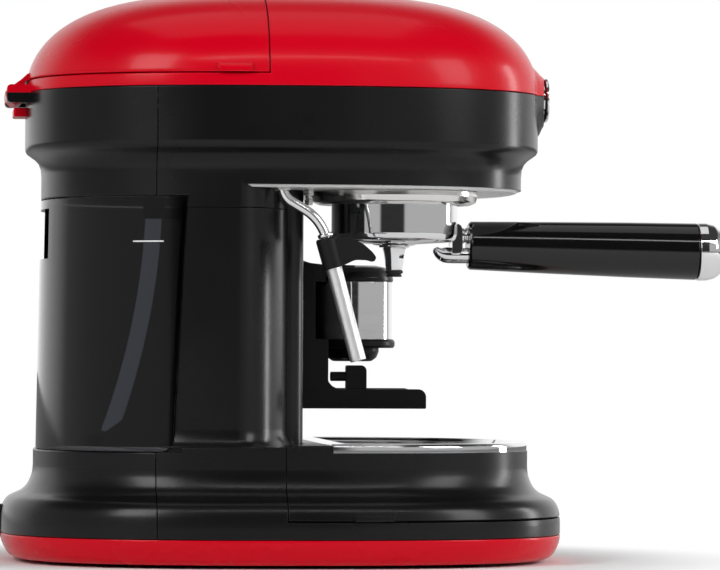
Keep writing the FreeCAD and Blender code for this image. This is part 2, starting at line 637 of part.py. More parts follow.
def hopper_lid():
    """Clear lid of the bean hopper with a finger bar."""
    plate = Part.Face(oval(49.0, 55.0, 272.2, (HOPPER_X, HOPPER_Y), 3.6)).extrude(Vector(0, 0, 2.2))
    plug = Part.Face(oval(43.4, 49.4, 268.6, (HOPPER_X, HOPPER_Y), 3.6)).extrude(Vector(0, 0, 3.6))
    bar = box((HOPPER_X - 14.0, HOPPER_X + 14.0), (HOPPER_Y - 2.2, HOPPER_Y + 2.2), (274.4, 280.4))
    bar = rounded(bar, 1.8, lambda c, e: c.z > 280.0)
    return fuse([plate, plug, bar])


# ---- controls -----------------------------------------------------------------------------
def bezel():
    """Chrome ring with a rounded lip, set across the seam between head and cover."""
    stem = Part.Face(stadium(BEZEL_HALF_X - 3.2, BEZEL_HALF_Z - 3.2, -149.0, 0.0, BEZEL_Z))
    stem = stem.extrude(Vector(0, 15.0, 0))
    wires = [stadium(BEZEL_HALF_X - 1.4, BEZEL_HALF_Z - 1.4, -141.0, 0.0, BEZEL_Z),
             stadium(BEZEL_HALF_X - 1.0, BEZEL_HALF_Z - 1.0, -147.0, 0.0, BEZEL_Z),
             stadium(BEZEL_HALF_X - 0.2, BEZEL_HALF_Z - 0.2, -148.8, 0.0, BEZEL_Z),
             stadium(BEZEL_HALF_X, BEZEL_HALF_Z, -149.6, 0.0, BEZEL_Z),
             stadium(BEZEL_HALF_X - 0.5, BEZEL_HALF_Z - 0.5, -150.2, 0.0, BEZEL_Z),
             stadium(BEZEL_HALF_X - 1.5, BEZEL_HALF_Z - 1.5, BEZEL_FRONT, 0.0, BEZEL_Z)]
    lip = Part.makeLoft(wires, True, True).cut([head_body(), dome_body(), nose_body()])
    hole = Part.Face(stadium(BEZEL_HALF_X - 5.2, BEZEL_HALF_Z - 5.2, -160.0, 0.0, BEZEL_Z))
    seat = Part.Face(stadium(BEZEL_HALF_X - 3.8, BEZEL_HALF_Z - 3.8, -160.0, 0.0, BEZEL_Z))
    ring = stem.fuse(lip).cut(hole.extrude(Vector(0, 40.0, 0)))
    return ring.cut(seat.extrude(Vector(0, PLATE_BACK + 160.0, 0)))


def button_plate():
    """Black plate in the bezel, with a hole for each button."""
    half_x, half_z = BEZEL_HALF_X - 3.8, BEZEL_HALF_Z - 3.8
    plate = Part.Face(stadium(half_x, half_z, PLATE_BACK, 0.0, BEZEL_Z))
    plate = plate.extrude(Vector(0, PLATE_FRONT - PLATE_BACK, 0))
    holes = [rod((x, -155.0, BEZEL_Z), (x, -140.0, BEZEL_Z), BUTTON_RADIUS + 0.3) for x in BUTTON_X]
    return plate.cut(holes)


def push_button(x):
    """Round push button with a domed face and a collar behind the plate."""
    flange = BUTTON_RADIUS + 1.2
    profile = [(0.0, 0.0), (BUTTON_RADIUS - 1.0, 0.3), (BUTTON_RADIUS, 1.1), (BUTTON_RADIUS, 8.0),
               (flange, 8.0), (flange, 9.2), (3.0, 9.2), (3.0, BUTTON_LENGTH), (0.0, BUTTON_LENGTH)]
    points = [Vector(x + r, BUTTON_FACE + depth, BEZEL_Z) for r, depth in profile]
    disc = Part.Face(Part.makePolygon(points + points[:1]))
    return disc.revolve(Vector(x, 0, BEZEL_Z), Vector(0, 1, 0), 360)


def control_board():
    """Circuit board behind the buttons with a switch for each of them."""
    board = box((-58.0, 58.0), (-124.0, -122.4), (BEZEL_Z - 9.0, BEZEL_Z + 9.0))
    rear = BUTTON_FACE + BUTTON_LENGTH + BUTTON_TRAVEL + 0.3
    height = (BEZEL_Z - 3.0, BEZEL_Z + 3.0)
    switches = [box((x - 3.0, x + 3.0), (rear, -124.0), height) for x in BUTTON_X]
    posts = [box((x - 3.0, x + 3.0), (-122.4, -118.0), (HEAD_BOTTOM, BEZEL_Z + 9.0)) for x in (-52.0, 52.0)]
    return fuse([board] + switches + posts)


# ---- brewing group ------------------------------------------------------------------------
def group_collar():
    """Brushed ring that the portafilter locks into."""
    ring = turned([(LEDGE_RADIUS, COLLAR_BOTTOM), (COLLAR_RADIUS - 4.0, COLLAR_BOTTOM),
                   (COLLAR_RADIUS - 1.2, COLLAR_BOTTOM + 1.2), (COLLAR_RADIUS, COLLAR_BOTTOM + 4.0),
                   (COLLAR_RADIUS, 214.0), (30.0, 214.0), (30.0, 212.4), (39.4, 212.4),
                   (39.4, 203.3), (LEDGE_RADIUS, 203.3)], GROUP_X, GROUP_Y)
    gaps = []
    for step in range(BAYONET_LUGS):
        gap = box((-8.0, 8.0), (30.0, 39.4), (COLLAR_BOTTOM - 1.0, 204.0))
        gap.rotate(Vector(0, 0, 0), Vector(0, 0, 1), 70.0 + 120.0 * step)
        gap.translate(Vector(GROUP_X, GROUP_Y, 0))
        gaps.append(gap)
    return ring.cut(gaps)


def group_gasket():
    return turned([(29.0, 208.4), (37.0, 208.4), (37.0, 212.4), (29.0, 212.4)], GROUP_X, GROUP_Y)


def shower_screen():
    """Perforated disc that spreads the water over the coffee."""
    disc = turned([(0.0, 209.0), (27.0, 209.0), (28.6, 210.0), (28.6, 214.0), (26.6, 214.0),
                   (26.6, 211.0), (0.0, 211.0)], GROUP_X, GROUP_Y)
    holes = []
    for ring, count in ((7.0, 6), (14.0, 12), (21.0, 18)):
        for step in range(count):
            angle = 2.0 * math.pi * step / count
            x, y = GROUP_X + ring * math.cos(angle), GROUP_Y + ring * math.sin(angle)
            holes.append(drum(x, y, 1.1, (208.0, 212.0)))
    return disc.cut(holes)


def boiler():
    """Round boiler bolted over the group."""
    body = turned([(0.0, 214.0), (44.0, 214.0), (44.0, 219.0), (38.0, 219.0), (38.0, 246.0),
                   (30.0, 253.0), (0.0, 255.0)], GROUP_X, GROUP_Y)
    inlet = rod((GROUP_X, GROUP_Y + 30.0, 232.0), (GROUP_X, GROUP_Y + 46.0, 232.0), 4.0)
    return body.fuse(inlet)


# ---- portafilter --------------------------------------------------------------------------
def portafilter_cup():
    """Polished cup with a shallow cone below, locking lugs above and a boss for the neck."""
    outer = [(0.0, 178.4), (9.5, 178.4), (12.0, 179.0), (31.0, CUP_BOTTOM), (34.2, CUP_BOTTOM + 1.0),
             (CUP_RADIUS, CUP_BOTTOM + 3.6), (CUP_RADIUS, CUP_TOP)]
    inner = [(32.6, CUP_TOP), (32.6, CUP_BOTTOM + 6.0), (30.0, CUP_BOTTOM + 3.4),
             (3.0, 180.8), (0.0, 180.8)]
    cup = turned(outer + inner, GROUP_X, GROUP_Y)
    lugs = []
    for step in range(BAYONET_LUGS):
        lug = turned([(34.0, 203.6), (LUG_REACH, 203.6), (LUG_REACH, 206.2), (34.0, 206.2)])
        wedge = box((-7.2, 7.2), (20.0, 45.0), (200.0, 210.0))
        lug = lug.common(wedge)
        lug.rotate(Vector(0, 0, 0), Vector(0, 0, 1), 120.0 * step)
        lug.translate(Vector(GROUP_X, GROUP_Y, 0))
        lugs.append(lug)
    front = GROUP_Y - CUP_RADIUS
    boss = box((GROUP_X - 9.0, GROUP_X + 9.0), (front - 2.2, front + 10.0), (173.6, 190.6))
    boss = rounded(boss, 2.0, lambda c, e: c.y < front - 2.0)
    boss = boss.cut(drum(GROUP_X, GROUP_Y, 33.0, (150.0, 220.0)))
    drain = drum(GROUP_X, GROUP_Y, 3.0, (170.0, 190.0))
    return fuse([cup, boss] + lugs).cut(drain)


def filter_basket():
    """Steel basket that drops into the cup and hangs by its rim."""
    basket = turned([(0.0, 187.0), (29.4, 187.0), (31.4, 190.0), (31.4, CUP_TOP), (35.0, CUP_TOP),
                     (35.0, CUP_TOP + 0.9), (30.6, CUP_TOP + 0.9), (30.6, 190.4), (29.0, 187.8),
                     (0.0, 187.8)], GROUP_X, GROUP_Y)
    holes = []
    for ring, count in ((8.0, 8), (16.0, 14), (24.0, 20)):
        for step in range(count):
            angle = 2.0 * math.pi * step / count
            x, y = GROUP_X + ring * math.cos(angle), GROUP_Y + ring * math.sin(angle)
            holes.append(drum(x, y, 0.8, (186.0, 189.0)))
    return basket.cut(holes)


def facet_ring(radius, z, sides=8):
    """Many-sided wire for the spout's facets."""
    points = []
    for step in range(sides + 1):
        angle = math.pi / sides + 2.0 * math.pi * step / sides
        points.append(Vector(GROUP_X + radius * math.cos(angle), GROUP_Y + radius * math.sin(angle), z))
    return Part.makePolygon(points)


def spout():
    """Faceted spout screwed into the bottom of the cup."""
    wires = [facet_ring(6.6, 178.2), facet_ring(6.2, 175.6), facet_ring(4.9, 166.0), facet_ring(4.5, 164.4)]
    body = Part.makeLoft(wires, True, True)
    flange = drum(GROUP_X, GROUP_Y, 8.6, (177.2, 178.4))
    return body.fuse(flange).cut(drum(GROUP_X, GROUP_Y, 2.6, (150.0, 190.0)))


def spout_rings():
    """Two black sealing rings at the spout's mouth."""
    rings = turned([(2.6, 160.7), (4.4, 160.7), (4.4, 161.9), (3.4, 161.9), (3.4, 162.6),
                    (5.0, 162.6), (5.0, 164.0), (4.4, 164.4), (2.6, 164.4)], GROUP_X, GROUP_Y)
    return rings


def portafilter_neck():
    """Threaded stud and the curved rest below it, between cup and handle."""
    front = GROUP_Y - CUP_RADIUS - 2.2
    stud = rod((GROUP_X, front, 184.0), (GROUP_X, HANDLE_START, 184.0), 4.6)
    curve = [(HANDLE_START, 177.4), (-90.0, 177.5), (-85.2, 177.0), (-83.2, 175.2), (-84.6, 172.4),
             (-88.6, 169.8), (-93.0, 168.6), (HANDLE_START, 168.3)]
    rest = prism(curve, (GROUP_X - 5.6, GROUP_X + 5.6))
    rest = rest.cut(drum(GROUP_X, GROUP_Y, CUP_RADIUS + 0.4, (178.3, 210.0)))
    boss_room = box((GROUP_X - 9.0, GROUP_X + 9.0), (front, front + 12.0), (173.6, 190.6))
    return Part.makeCompound([stud, rest.cut(boss_room)])


def handle_axis(y):
    """Height of the handle's centre line at one Y."""
    share = (y - HANDLE_START) / (HANDLE_END - HANDLE_START)
    return HANDLE_Z_START + share * (HANDLE_Z_END - HANDLE_Z_START)


def handle_ring(radius, y):
    centre = Vector(GROUP_X, y, handle_axis(y))
    return Part.Wire([Part.makeCircle(radius, centre, Vector(0, 1, 0))])


def portafilter_handle():
    """Black handle that thickens towards its end."""
    rings = [handle_ring(HANDLE_R_START - 1.0, HANDLE_START),
             handle_ring(HANDLE_R_START, HANDLE_START - 1.2),
             handle_ring(HANDLE_R_END, HANDLE_END)]
    return Part.makeLoft(rings, True, True)


def handle_cap():
    """Chrome cap with a rounded shoulder and a flat end."""
    steps = [(0.2, 0.0), (0.2, -5.0), (-0.8, -9.4), (-2.8, -12.6), (-5.6, -15.0), (-8.0, -16.0)]
    rings = [handle_ring(HANDLE_R_END + grow, HANDLE_END + back) for grow, back in steps]
    return Part.makeLoft(rings, True, True)


# ---- grinder outlet and fork --------------------------------------------------------------
def outlet_hood():
    """Black hooded duct from the column to the top of the outlet."""
    profile = [(PANEL_FRONT, 157.6), (PANEL_FRONT, 172.8), (-14.0, 171.8), (-20.0, 169.8), (-26.0, 168.9),
               (OUTLET_Y, 168.6), (OUTLET_Y, OUTLET_TOP), (-23.0, OUTLET_TOP)]
    duct = prism(profile, (OUTLET_X - 17.0, OUTLET_X + 17.0))
    ring = turned([(0.0, OUTLET_TOP), (23.8, OUTLET_TOP), (23.8, 161.0), (22.6, 164.2), (20.4, 166.6),
                   (17.2, 168.0), (13.0, 168.6), (0.0, 168.6)], OUTLET_X, OUTLET_Y)
    channel = box((OUTLET_X - 10.0, OUTLET_X + 10.0), (OUTLET_Y, 0.0), (161.6, 166.0))
    drop = drum(OUTLET_X, OUTLET_Y, 10.0, (150.0, 166.0))
    return fuse([duct, ring]).cut([channel, drop])


def outlet_cylinder():
    """Chrome sleeve round the falling coffee."""
    bore = OUTLET_RADIUS - 2.0
    return turned([(bore, OUTLET_BOTTOM), (OUTLET_RADIUS, OUTLET_BOTTOM), (OUTLET_RADIUS, OUTLET_TOP),
                   (bore, OUTLET_TOP)], OUTLET_X, OUTLET_Y)


def outlet_frame():
    """Black frame: back plate, disc under the sleeve, and two cheeks that stand on the fork."""
    height = (LOWER_PLATE, OUTLET_BOTTOM)
    disc = turned([(0.0, height[0]), (23.9, height[0]), (24.9, height[0] + 1.2),
                   (24.9, height[1] - 1.2), (24.0, height[1]), (0.0, height[1])], OUTLET_X, OUTLET_Y)
    bridge = box((OUTLET_X - 17.0, OUTLET_X + 17.0), (OUTLET_Y, PANEL_FRONT), height)
    plate = box((OUTLET_X - FORK_HALF, OUTLET_X + FORK_HALF), (CHEEK_FRONT, PANEL_FRONT), height)
    cheeks = []
    for side in (-1.0, 1.0):
        x = sorted((OUTLET_X + side * FORK_SLOT, OUTLET_X + side * FORK_HALF))
        foot = CHEEK_FRONT - 2.2
        profile = [(PANEL_FRONT, FORK_TOP), (PANEL_FRONT, LOWER_PLATE + 1.0),
                   (CHEEK_FRONT, LOWER_PLATE + 1.0), (CHEEK_FRONT, 101.5), (foot, 99.0),
                   (foot - 3.4, FORK_TOP)]
        cheeks.append(prism(profile, x))
    across = (OUTLET_X - FORK_HALF, OUTLET_X + FORK_HALF)
    back = box(across, (BRACKET_FRONT, PANEL_FRONT), (FORK_TOP, BRACKET_TOP))
    back = rounded(back, 4.0, lambda c, e: c.y < BRACKET_FRONT + 0.1 and c.z > BRACKET_TOP - 0.1)
    pin_way = rod((LEVER_X, CHEEK_FRONT - 1.0, PIN_Z), (LEVER_X, -22.5, PIN_Z), PIN_RADIUS + 0.3)
    frame = fuse([disc, bridge, plate, back] + cheeks)
    return frame.cut([drum(OUTLET_X, OUTLET_Y, 12.0, (100.0, 130.0)), pin_way, outlet_hood(), duct_way()])


def duct_way():
    """Ground coffee's way through the panel and the outlet's back plate."""
    return box((OUTLET_X - 10.0, OUTLET_X + 10.0), (-30.0, 12.0), (161.6, 166.0))


def outlet_mouth():
    """Rounded mouth that drops the coffee into the basket."""
    return turned([(9.0, LOWER_PLATE), (15.6, LOWER_PLATE), (15.0, 117.4), (13.2, 114.8), (10.6, 113.2),
                   (9.0, 113.0)], OUTLET_X, OUTLET_Y)


def fork():
    """Two arms, open to the front, that the portafilter's lugs slide onto."""
    x = (OUTLET_X - FORK_HALF, OUTLET_X + FORK_HALF)
    plate = box(x, (FORK_FRONT, PANEL_FRONT), (FORK_BOTTOM, FORK_TOP))
    plate = rounded(plate, 4.5, lambda c, e: c.y < FORK_FRONT + 0.1 and c.z > FORK_TOP - 0.1)
    through = (FORK_BOTTOM - 1.0, FORK_TOP + 1.0)
    slot = drum(OUTLET_X, FORK_SLOT_Y, FORK_SLOT, through)
    way = box((OUTLET_X - FORK_SLOT, OUTLET_X + FORK_SLOT), (FORK_FRONT - 1.0, FORK_SLOT_Y), through)
    guide_y = (LEVER_Y[0] - 0.1, LEVER_Y[1] + LEVER_TRAVEL + 0.6)
    guide = box((LEVER_X - 1.5, LEVER_X + 1.5), guide_y, (93.0, FORK_TOP + 1.0))
    return plate.cut([slot, way, guide])


def grind_lever():
    """Sliding lever on the fork: pushed back, its pin starts the grinder."""
    post = box((LEVER_X - 3.2, LEVER_X + 3.2), LEVER_Y, (FORK_TOP + 0.1, LEVER_TOP))
    post = rounded(post, 3.0, lambda c, e: c.y < LEVER_Y[0] + 0.1 and c.z > LEVER_TOP - 0.1)
    pin = rod((LEVER_X, LEVER_Y[1] - 1.0, PIN_Z), (LEVER_X, PIN_REAR, PIN_Z), PIN_RADIUS)
    tongue = box((LEVER_X - 1.4, LEVER_X + 1.4), LEVER_Y, (93.2, FORK_TOP + 0.2))
    return fuse([post, pin, tongue])


# ---- steam wand ---------------------------------------------------------------------------
def wand_route():
    """Corner points of the bent steam pipe, as (y, z) in its own upright plane."""
    return [(WAND_Y, 217.0), (WAND_Y, 203.7), (-14.55, 191.1), lean(0.0, 16.0)]


def bent_pipe(corners, radius, bends):
    """Round pipe through corner points, with a tangent arc at each corner."""
    points = [Vector(WAND_X, y, z) for y, z in corners]
    edges = []
    start = points[0]
    for before, corner, after, bend in zip(points, points[1:], points[2:], bends):
        into, out = (corner - before).normalize(), (after - corner).normalize()
        turn = into.getAngle(out)
        room = 0.45 * min((corner - before).Length, (after - corner).Length)
        reach = min(bend * math.tan(turn / 2.0), room)
        first, last = corner - into * reach, corner + out * reach
        size = reach / math.tan(turn / 2.0)
        inward = (out - into).normalize()
        centre = corner + inward * (size / math.cos(turn / 2.0))
        middle = centre + (corner - centre).normalize() * size
        edges.append(Part.LineSegment(start, first).toShape())
        edges.append(Part.Arc(first, middle, last).toShape())
        start = last
    edges.append(Part.LineSegment(start, points[-1]).toShape())
    path = Part.Wire(edges)
    ring = Part.Wire([Part.makeCircle(radius, points[0], points[1] - points[0])])
    return path.makePipeShell([ring], True, False)


def wand_pipe():
    return bent_pipe(wand_route(), WAND_RADIUS, WAND_BENDS)


def lean(beside, along):
    """Point beside the wand's lower axis, a distance down from the grip's top."""
    angle = math.radians(WAND_LEAN)
    y = WAND_AXIS[0] - along * math.sin(angle) + beside * math.cos(angle)
    z = WAND_AXIS[1] - along * math.cos(angle) - beside * math.sin(angle)
    return y, z


def wand_bar(radius, start, end):
    y1, z1 = lean(0.0, start)
    y2, z2 = lean(0.0, end)
    return rod((WAND_X, y1, z1), (WAND_X, y2, z2), radius)


def wand_collar():
    """Small ring on the pipe above the grip."""
    return wand_bar(4.3, -1.6, 0.8).cut(wand_pipe())


def wand_grip():
    """Black grip with a leaf-shaped tab for the thumb."""
    barrel = [(-21.6, 181.5), (-11.0, 178.4), (-16.6, 163.6), (-27.8, 166.2), (-33.3, 169.1)]
    leaf = [(-39.9, 169.1), (-43.5, 168.0), (-44.9, 170.2), (-42.7, 173.2), (-37.7, 177.9), (-30.6, 181.4)]
    grip = prism(barrel + leaf, (WAND_X - 6.0, WAND_X + 6.0))
    beside = [lean(-8.0, -12.0), lean(-8.0, 24.0), lean(-40.0, 24.0), lean(-40.0, -12.0)]
    slim = [prism(beside, (WAND_X + 3.0, WAND_X + 8.0)), prism(beside, (WAND_X - 8.0, WAND_X - 3.0))]
    grip = grip.cut(slim)
    return grip.cut([wand_pipe(), wand_bar(SLEEVE_RADIUS, 6.0, 30.0), wand_bar(4.3, -1.6, 0.8)])


def wand_sleeve():
    """Brushed outer sleeve, open at its lower end."""
    return wand_bar(SLEEVE_RADIUS, 6.0, 70.8).cut([wand_bar(3.6, 17.0, 80.0), wand_pipe()])


def wand_nut():
    """Fixed gland nut that the wand turns in."""
    low = PLATE_BOTTOM - 1.6
    nut = drum(WAND_X, WAND_Y, NUT_RADIUS, (low, 214.4))
    bore = WAND_RADIUS + 0.06
    bell = turned([(0.0, low - 0.1), (3.9, low - 0.1), (bore, low + 2.4), (0.0, low + 2.4)], WAND_X, WAND_Y)
    return nut.cut([drum(WAND_X, WAND_Y, bore, (190.0, 220.0)), bell])


# ---- water tank ---------------------------------------------------------------------------
def water_tank():
    """Smoky open-topped tank, flush with the machine's sides, with a grip recess behind."""
    top = box(ACROSS, (0.0, 180.0), (TANK_BOTTOM, TANK_TOP))
    recess = box((-42.0, 42.0), (126.0, 150.0), (170.0, 198.0))
    recess = rounded(recess, 3.0, lambda c, e: c.y < 126.1)
    wall = box((-44.4, 44.4), (123.6, 150.0), (167.6, 200.4))
    outer = tank_body().common(top).cut(recess)
    inner = tank_body(TANK_WALL).cut(wall)
    bump = box((-74.0, -66.0), (104.0, 112.0), (TANK_BOTTOM + 1.0, TANK_BOTTOM + 9.0))
    return outer.cut(inner).fuse(bump).removeSplitter()


def pickup_route():
    return [Vector(-60.0, 75.0, 199.0), Vector(-60.0, 83.0, 131.0), Vector(-60.0, 99.5, 73.0)]


def pickup_tube():
    """Soft tube that draws the water, bowed forward in the tank."""
    path = Part.Wire([Part.Arc(*pickup_route()).toShape()])
    start = pickup_route()[0]
    tangent = path.Edges[0].tangentAt(path.Edges[0].FirstParameter)
    outer = path.makePipeShell([Part.Wire([Part.makeCircle(4.5, start, tangent)])], True, False)
    inner = path.makePipeShell([Part.Wire([Part.makeCircle(3.0, start, tangent)])], True, False)
    tube = outer.cut(inner)
    cut = box((-70.0, -50.0), (-15.0, 15.0), (-20.0, 0.0))
    cut.Placement = FreeCAD.Placement(Vector(0, 101.0, 74.0), Rotation(Vector(1, 0, 0), -35.0))
    return tube.cut(cut)


def tube_clip():
    """Clip that holds the pick-up tube to the tank's front wall."""
    clip = box((-67.0, -53.0), (56.0, 81.0), (192.0, 198.0))
    start = Vector(-60.0, 75.0, 199.0)
    hole = rod((-60.0, 75.4, 190.0), (-60.0, 74.8, 200.0), 4.55)
    port = drum(start.x, start.y, 6.0, (198.0, 202.6)).cut(drum(start.x, start.y, 4.6, (190.0, 202.0)))
    clip = clip.cut([hole, pickup_envelope()])
    inner = tank_body(TANK_WALL)
    return clip.fuse(port).common(inner)


def pickup_envelope():
    path = Part.Wire([Part.Arc(*pickup_route()).toShape()])
    start = pickup_route()[0]
    tangent = path.Edges[0].tangentAt(path.Edges[0].FirstParameter)
    return path.makePipeShell([Part.Wire([Part.makeCircle(4.5, start, tangent)])], True, False)


# ---- grinder and pump ---------------------------------------------------------------------
def grinder_motor():
    profile = [(0.0, 74.0), (20.0, 74.0), (23.0, 77.0), (23.0, 150.0), (20.0, 153.0), (0.0, 153.0)]
    body = turned(profile, GRINDER_X, GRINDER_Y)
    shaft_hole = drum(GRINDER_X, GRINDER_Y, 3.05, (140.0, 160.0))
    stand = drum(GRINDER_X, GRINDER_Y, 24.0, (SHELF_TOP + WALL, 74.0))
    return body.fuse(stand).cut(shaft_hole)


def grinder_housing():
    """Bowl round the burrs, open to the outlet duct."""
    bowl = turned([(3.4, 153.0), (24.6, 153.0), (24.6, 209.0), (20.0, 209.0), (20.0, 196.0),
                   (22.4, 196.0), (22.4, 158.0), (3.4, 158.0)], GRINDER_X, GRINDER_Y)
    mouth = box((GRINDER_X - 6.0, GRINDER_X + 12.0), (GRINDER_Y - 30.0, GRINDER_Y), (162.0, 170.0))
    return bowl.cut(mouth)


def upper_burr():
    """Fixed cutting ring."""
    ring = turned([(12.0, 182.0), (22.4, 182.0), (22.4, 194.0), (18.0, 194.0)], GRINDER_X, GRINDER_Y)
    teeth = []
    for step in range(18):
        groove = box((11.0, 19.0), (-0.7, 0.7), (181.0, 186.0))
        groove.rotate(Vector(0, 0, 0), Vector(0, 0, 1), 20.0 * step)
        groove.translate(Vector(GRINDER_X, GRINDER_Y, 0))
        teeth.append(groove)
    return ring.cut(teeth)


def lower_burr():
    """Turning cone that breaks the beans, on the motor's shaft."""
    profile = [(0.0, 166.0), (18.0, 166.0), (18.0, 180.0), (11.4, 181.6), (5.0, 196.0), (0.0, 198.0)]
    cone = turned(profile, GRINDER_X, GRINDER_Y)
    grooves = []
    for step in range(12):
        groove = box((4.0, 19.0), (-0.8, 0.8), (180.2, 199.0))
        groove.rotate(Vector(0, 0, 0), Vector(0, 0, 1), 30.0 * step)
        groove.translate(Vector(GRINDER_X, GRINDER_Y, 0))
        grooves.append(groove)
    return cone.cut(grooves)


def burr_shaft():
    return drum(GRINDER_X, GRINDER_Y, 3.0, (142.0, 166.0))


def pump():
    """Vibration pump lying across the column."""
    body = rod((-80.0, 26.0, 96.0), (-30.0, 26.0, 96.0), 17.0)
    outlet = rod((-96.0, 26.0, 96.0), (-80.0, 26.0, 96.0), 6.0)
    coil = box((-68.0, -42.0), (7.0, 45.0), (SHELF_TOP + WALL, 114.0))
    return fuse([body, outlet, coil])


def steam_fitting():
    """Small steel fitting under the head beside the wand."""
    x, y = FITTING
    return fuse([drum(x, y, 2.6, (199.6, 202.6)), drum(x, y, 2.0, (202.6, 205.0)),
                 drum(x, y, 3.0, (205.0, PLATE_BOTTOM))])


# ---- write every node ---------------------------------------------------------------------
def build():
    nodes = {
        "base_pan": base_pan, "feet": feet, "base_front": base_front, "base_rear": base_rear,
        "cord_gland": cord_gland, "drip_tray": drip_tray, "drip_grid": drip_grid,
        "column_shell": column_shell, "splash_panel": splash_panel,
        "head_front": head_front, "head_rear": head_rear, "head_plate": head_plate,
        "hinge_pin": hinge_pin, "lid_stop": lid_stop, "top_cover": top_cover, "lid": lid,
        "deck": deck, "filler_cap": filler_cap, "bean_hopper": bean_hopper, "hopper_lid": hopper_lid,
        "bezel": bezel, "button_plate": button_plate, "control_board": control_board,
        "group_collar": group_collar, "group_gasket": group_gasket, "shower_screen": shower_screen,
        "boiler": boiler, "portafilter_cup": portafilter_cup, "filter_basket": filter_basket,
        "spout": spout, "spout_rings": spout_rings, "portafilter_neck": portafilter_neck,
        "portafilter_handle": portafilter_handle, "handle_cap": handle_cap,
        "outlet_hood": outlet_hood, "outlet_cylinder": outlet_cylinder, "outlet_frame": outlet_frame,
        "outlet_mouth": outlet_mouth, "fork": fork, "grind_lever": grind_lever,
        "wand_pipe": wand_pipe, "wand_collar": wand_collar, "wand_grip": wand_grip,
        "wand_sleeve": wand_sleeve, "wand_nut": wand_nut, "steam_fitting": steam_fitting,
        "water_tank": water_tank, "pickup_tube": pickup_tube, "tube_clip": tube_clip,
        "grinder_motor": grinder_motor, "grinder_housing": grinder_housing,
        "upper_burr": upper_burr, "lower_burr": lower_burr, "burr_shaft": burr_shaft, "pump": pump,
    }
    shapes = {name: make() for name, make in nodes.items()}
    for name, x in zip(("power", "one_cup", "two_cups", "steam"), BUTTON_X):
        shapes["button_" + name] = push_button(x)
    return shapes


def main():
    os.makedirs("parts", exist_ok=True)
    for name, shape in build().items():
        solids = shape.Solids
        volume = sum(solid.Volume for solid in solids)
        print(f"{name:20s} solids {len(solids)}  valid {shape.isValid()}  volume {volume:11.1f}")
        if len(solids) == 1:
            shape = solids[0]
        shape.exportStep(f"parts/{name}.step")


main()
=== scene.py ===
"""Espresso machine with a built-in coffee grinder: its visible mouldings, metalwork and finishes."""

import math

import bmesh
import bpy
from mathutils import Matrix, Vector


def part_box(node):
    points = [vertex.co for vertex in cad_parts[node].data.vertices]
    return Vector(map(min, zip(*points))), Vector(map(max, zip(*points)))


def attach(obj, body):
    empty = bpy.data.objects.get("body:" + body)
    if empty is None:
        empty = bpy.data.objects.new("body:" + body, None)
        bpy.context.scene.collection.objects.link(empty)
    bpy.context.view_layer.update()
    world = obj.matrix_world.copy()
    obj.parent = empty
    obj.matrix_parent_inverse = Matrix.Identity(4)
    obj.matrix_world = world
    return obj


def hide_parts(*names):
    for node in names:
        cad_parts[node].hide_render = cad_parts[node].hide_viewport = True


bl_info = {
    "name": "Espresso machine",
    "version": (1, 0, 0),
    "blender": (4, 5, 0),
    "location": "3D Viewport > Sidebar > Espresso",
    "description": "Builds a small kitchen espresso machine piece by piece on its packed frame",
    "category": "Object",
}

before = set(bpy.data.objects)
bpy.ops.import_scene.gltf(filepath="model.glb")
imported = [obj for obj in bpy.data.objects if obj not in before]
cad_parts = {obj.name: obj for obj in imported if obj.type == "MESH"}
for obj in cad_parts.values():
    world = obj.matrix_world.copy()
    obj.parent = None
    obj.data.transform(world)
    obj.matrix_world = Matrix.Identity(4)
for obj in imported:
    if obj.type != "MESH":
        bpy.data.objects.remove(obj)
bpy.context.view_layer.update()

MM = 0.001
RATIO = 0.87          # half-width of every housing outline over its half-length
POWER = 2.65          # squareness of the housing outlines
AROUND = 168          # points round a housing
SEAM_Y = 76.0         # plane of the joint between the front and rear mouldings
BOW_Y = 40.0          # the column is bowed ahead of here and follows the tank behind it
PANEL_Y = -8.6        # front of the splash panel
BASE_LOW, BASE_TOP, LEDGE = 16.0, 66.0, 63.0     # base moulding, and its ledge under the tank
NECK_HALF, HEAD_HALF = 136.0, 145.3              # half-lengths of the neck and of the head
HEAD_LOW, HEAD_TOP = 203.6, 263.3
DOME_LOW, DOME_RISE, DOME_TOP = 263.5, 56.5, 320.0
DOME_PLAN, DOME_CROWN = 3.6, 2.15                # powers of the dome's profile
KEYS_Z = 262.0                                   # height of the row of buttons
HINGE_Y, HINGE_Z = 151.5, 262.8


# ---- sizes and colours that a user would change --------------------------------------------
def length_of(name, about, default):
    return bpy.props.FloatProperty(name=name, description=about, default=default * MM, unit="LENGTH")


def colour_of(name, about, default):
    return bpy.props.FloatVectorProperty(
        name=name, description=about, default=default, size=4, min=0.0, max=1.0, subtype="COLOR")


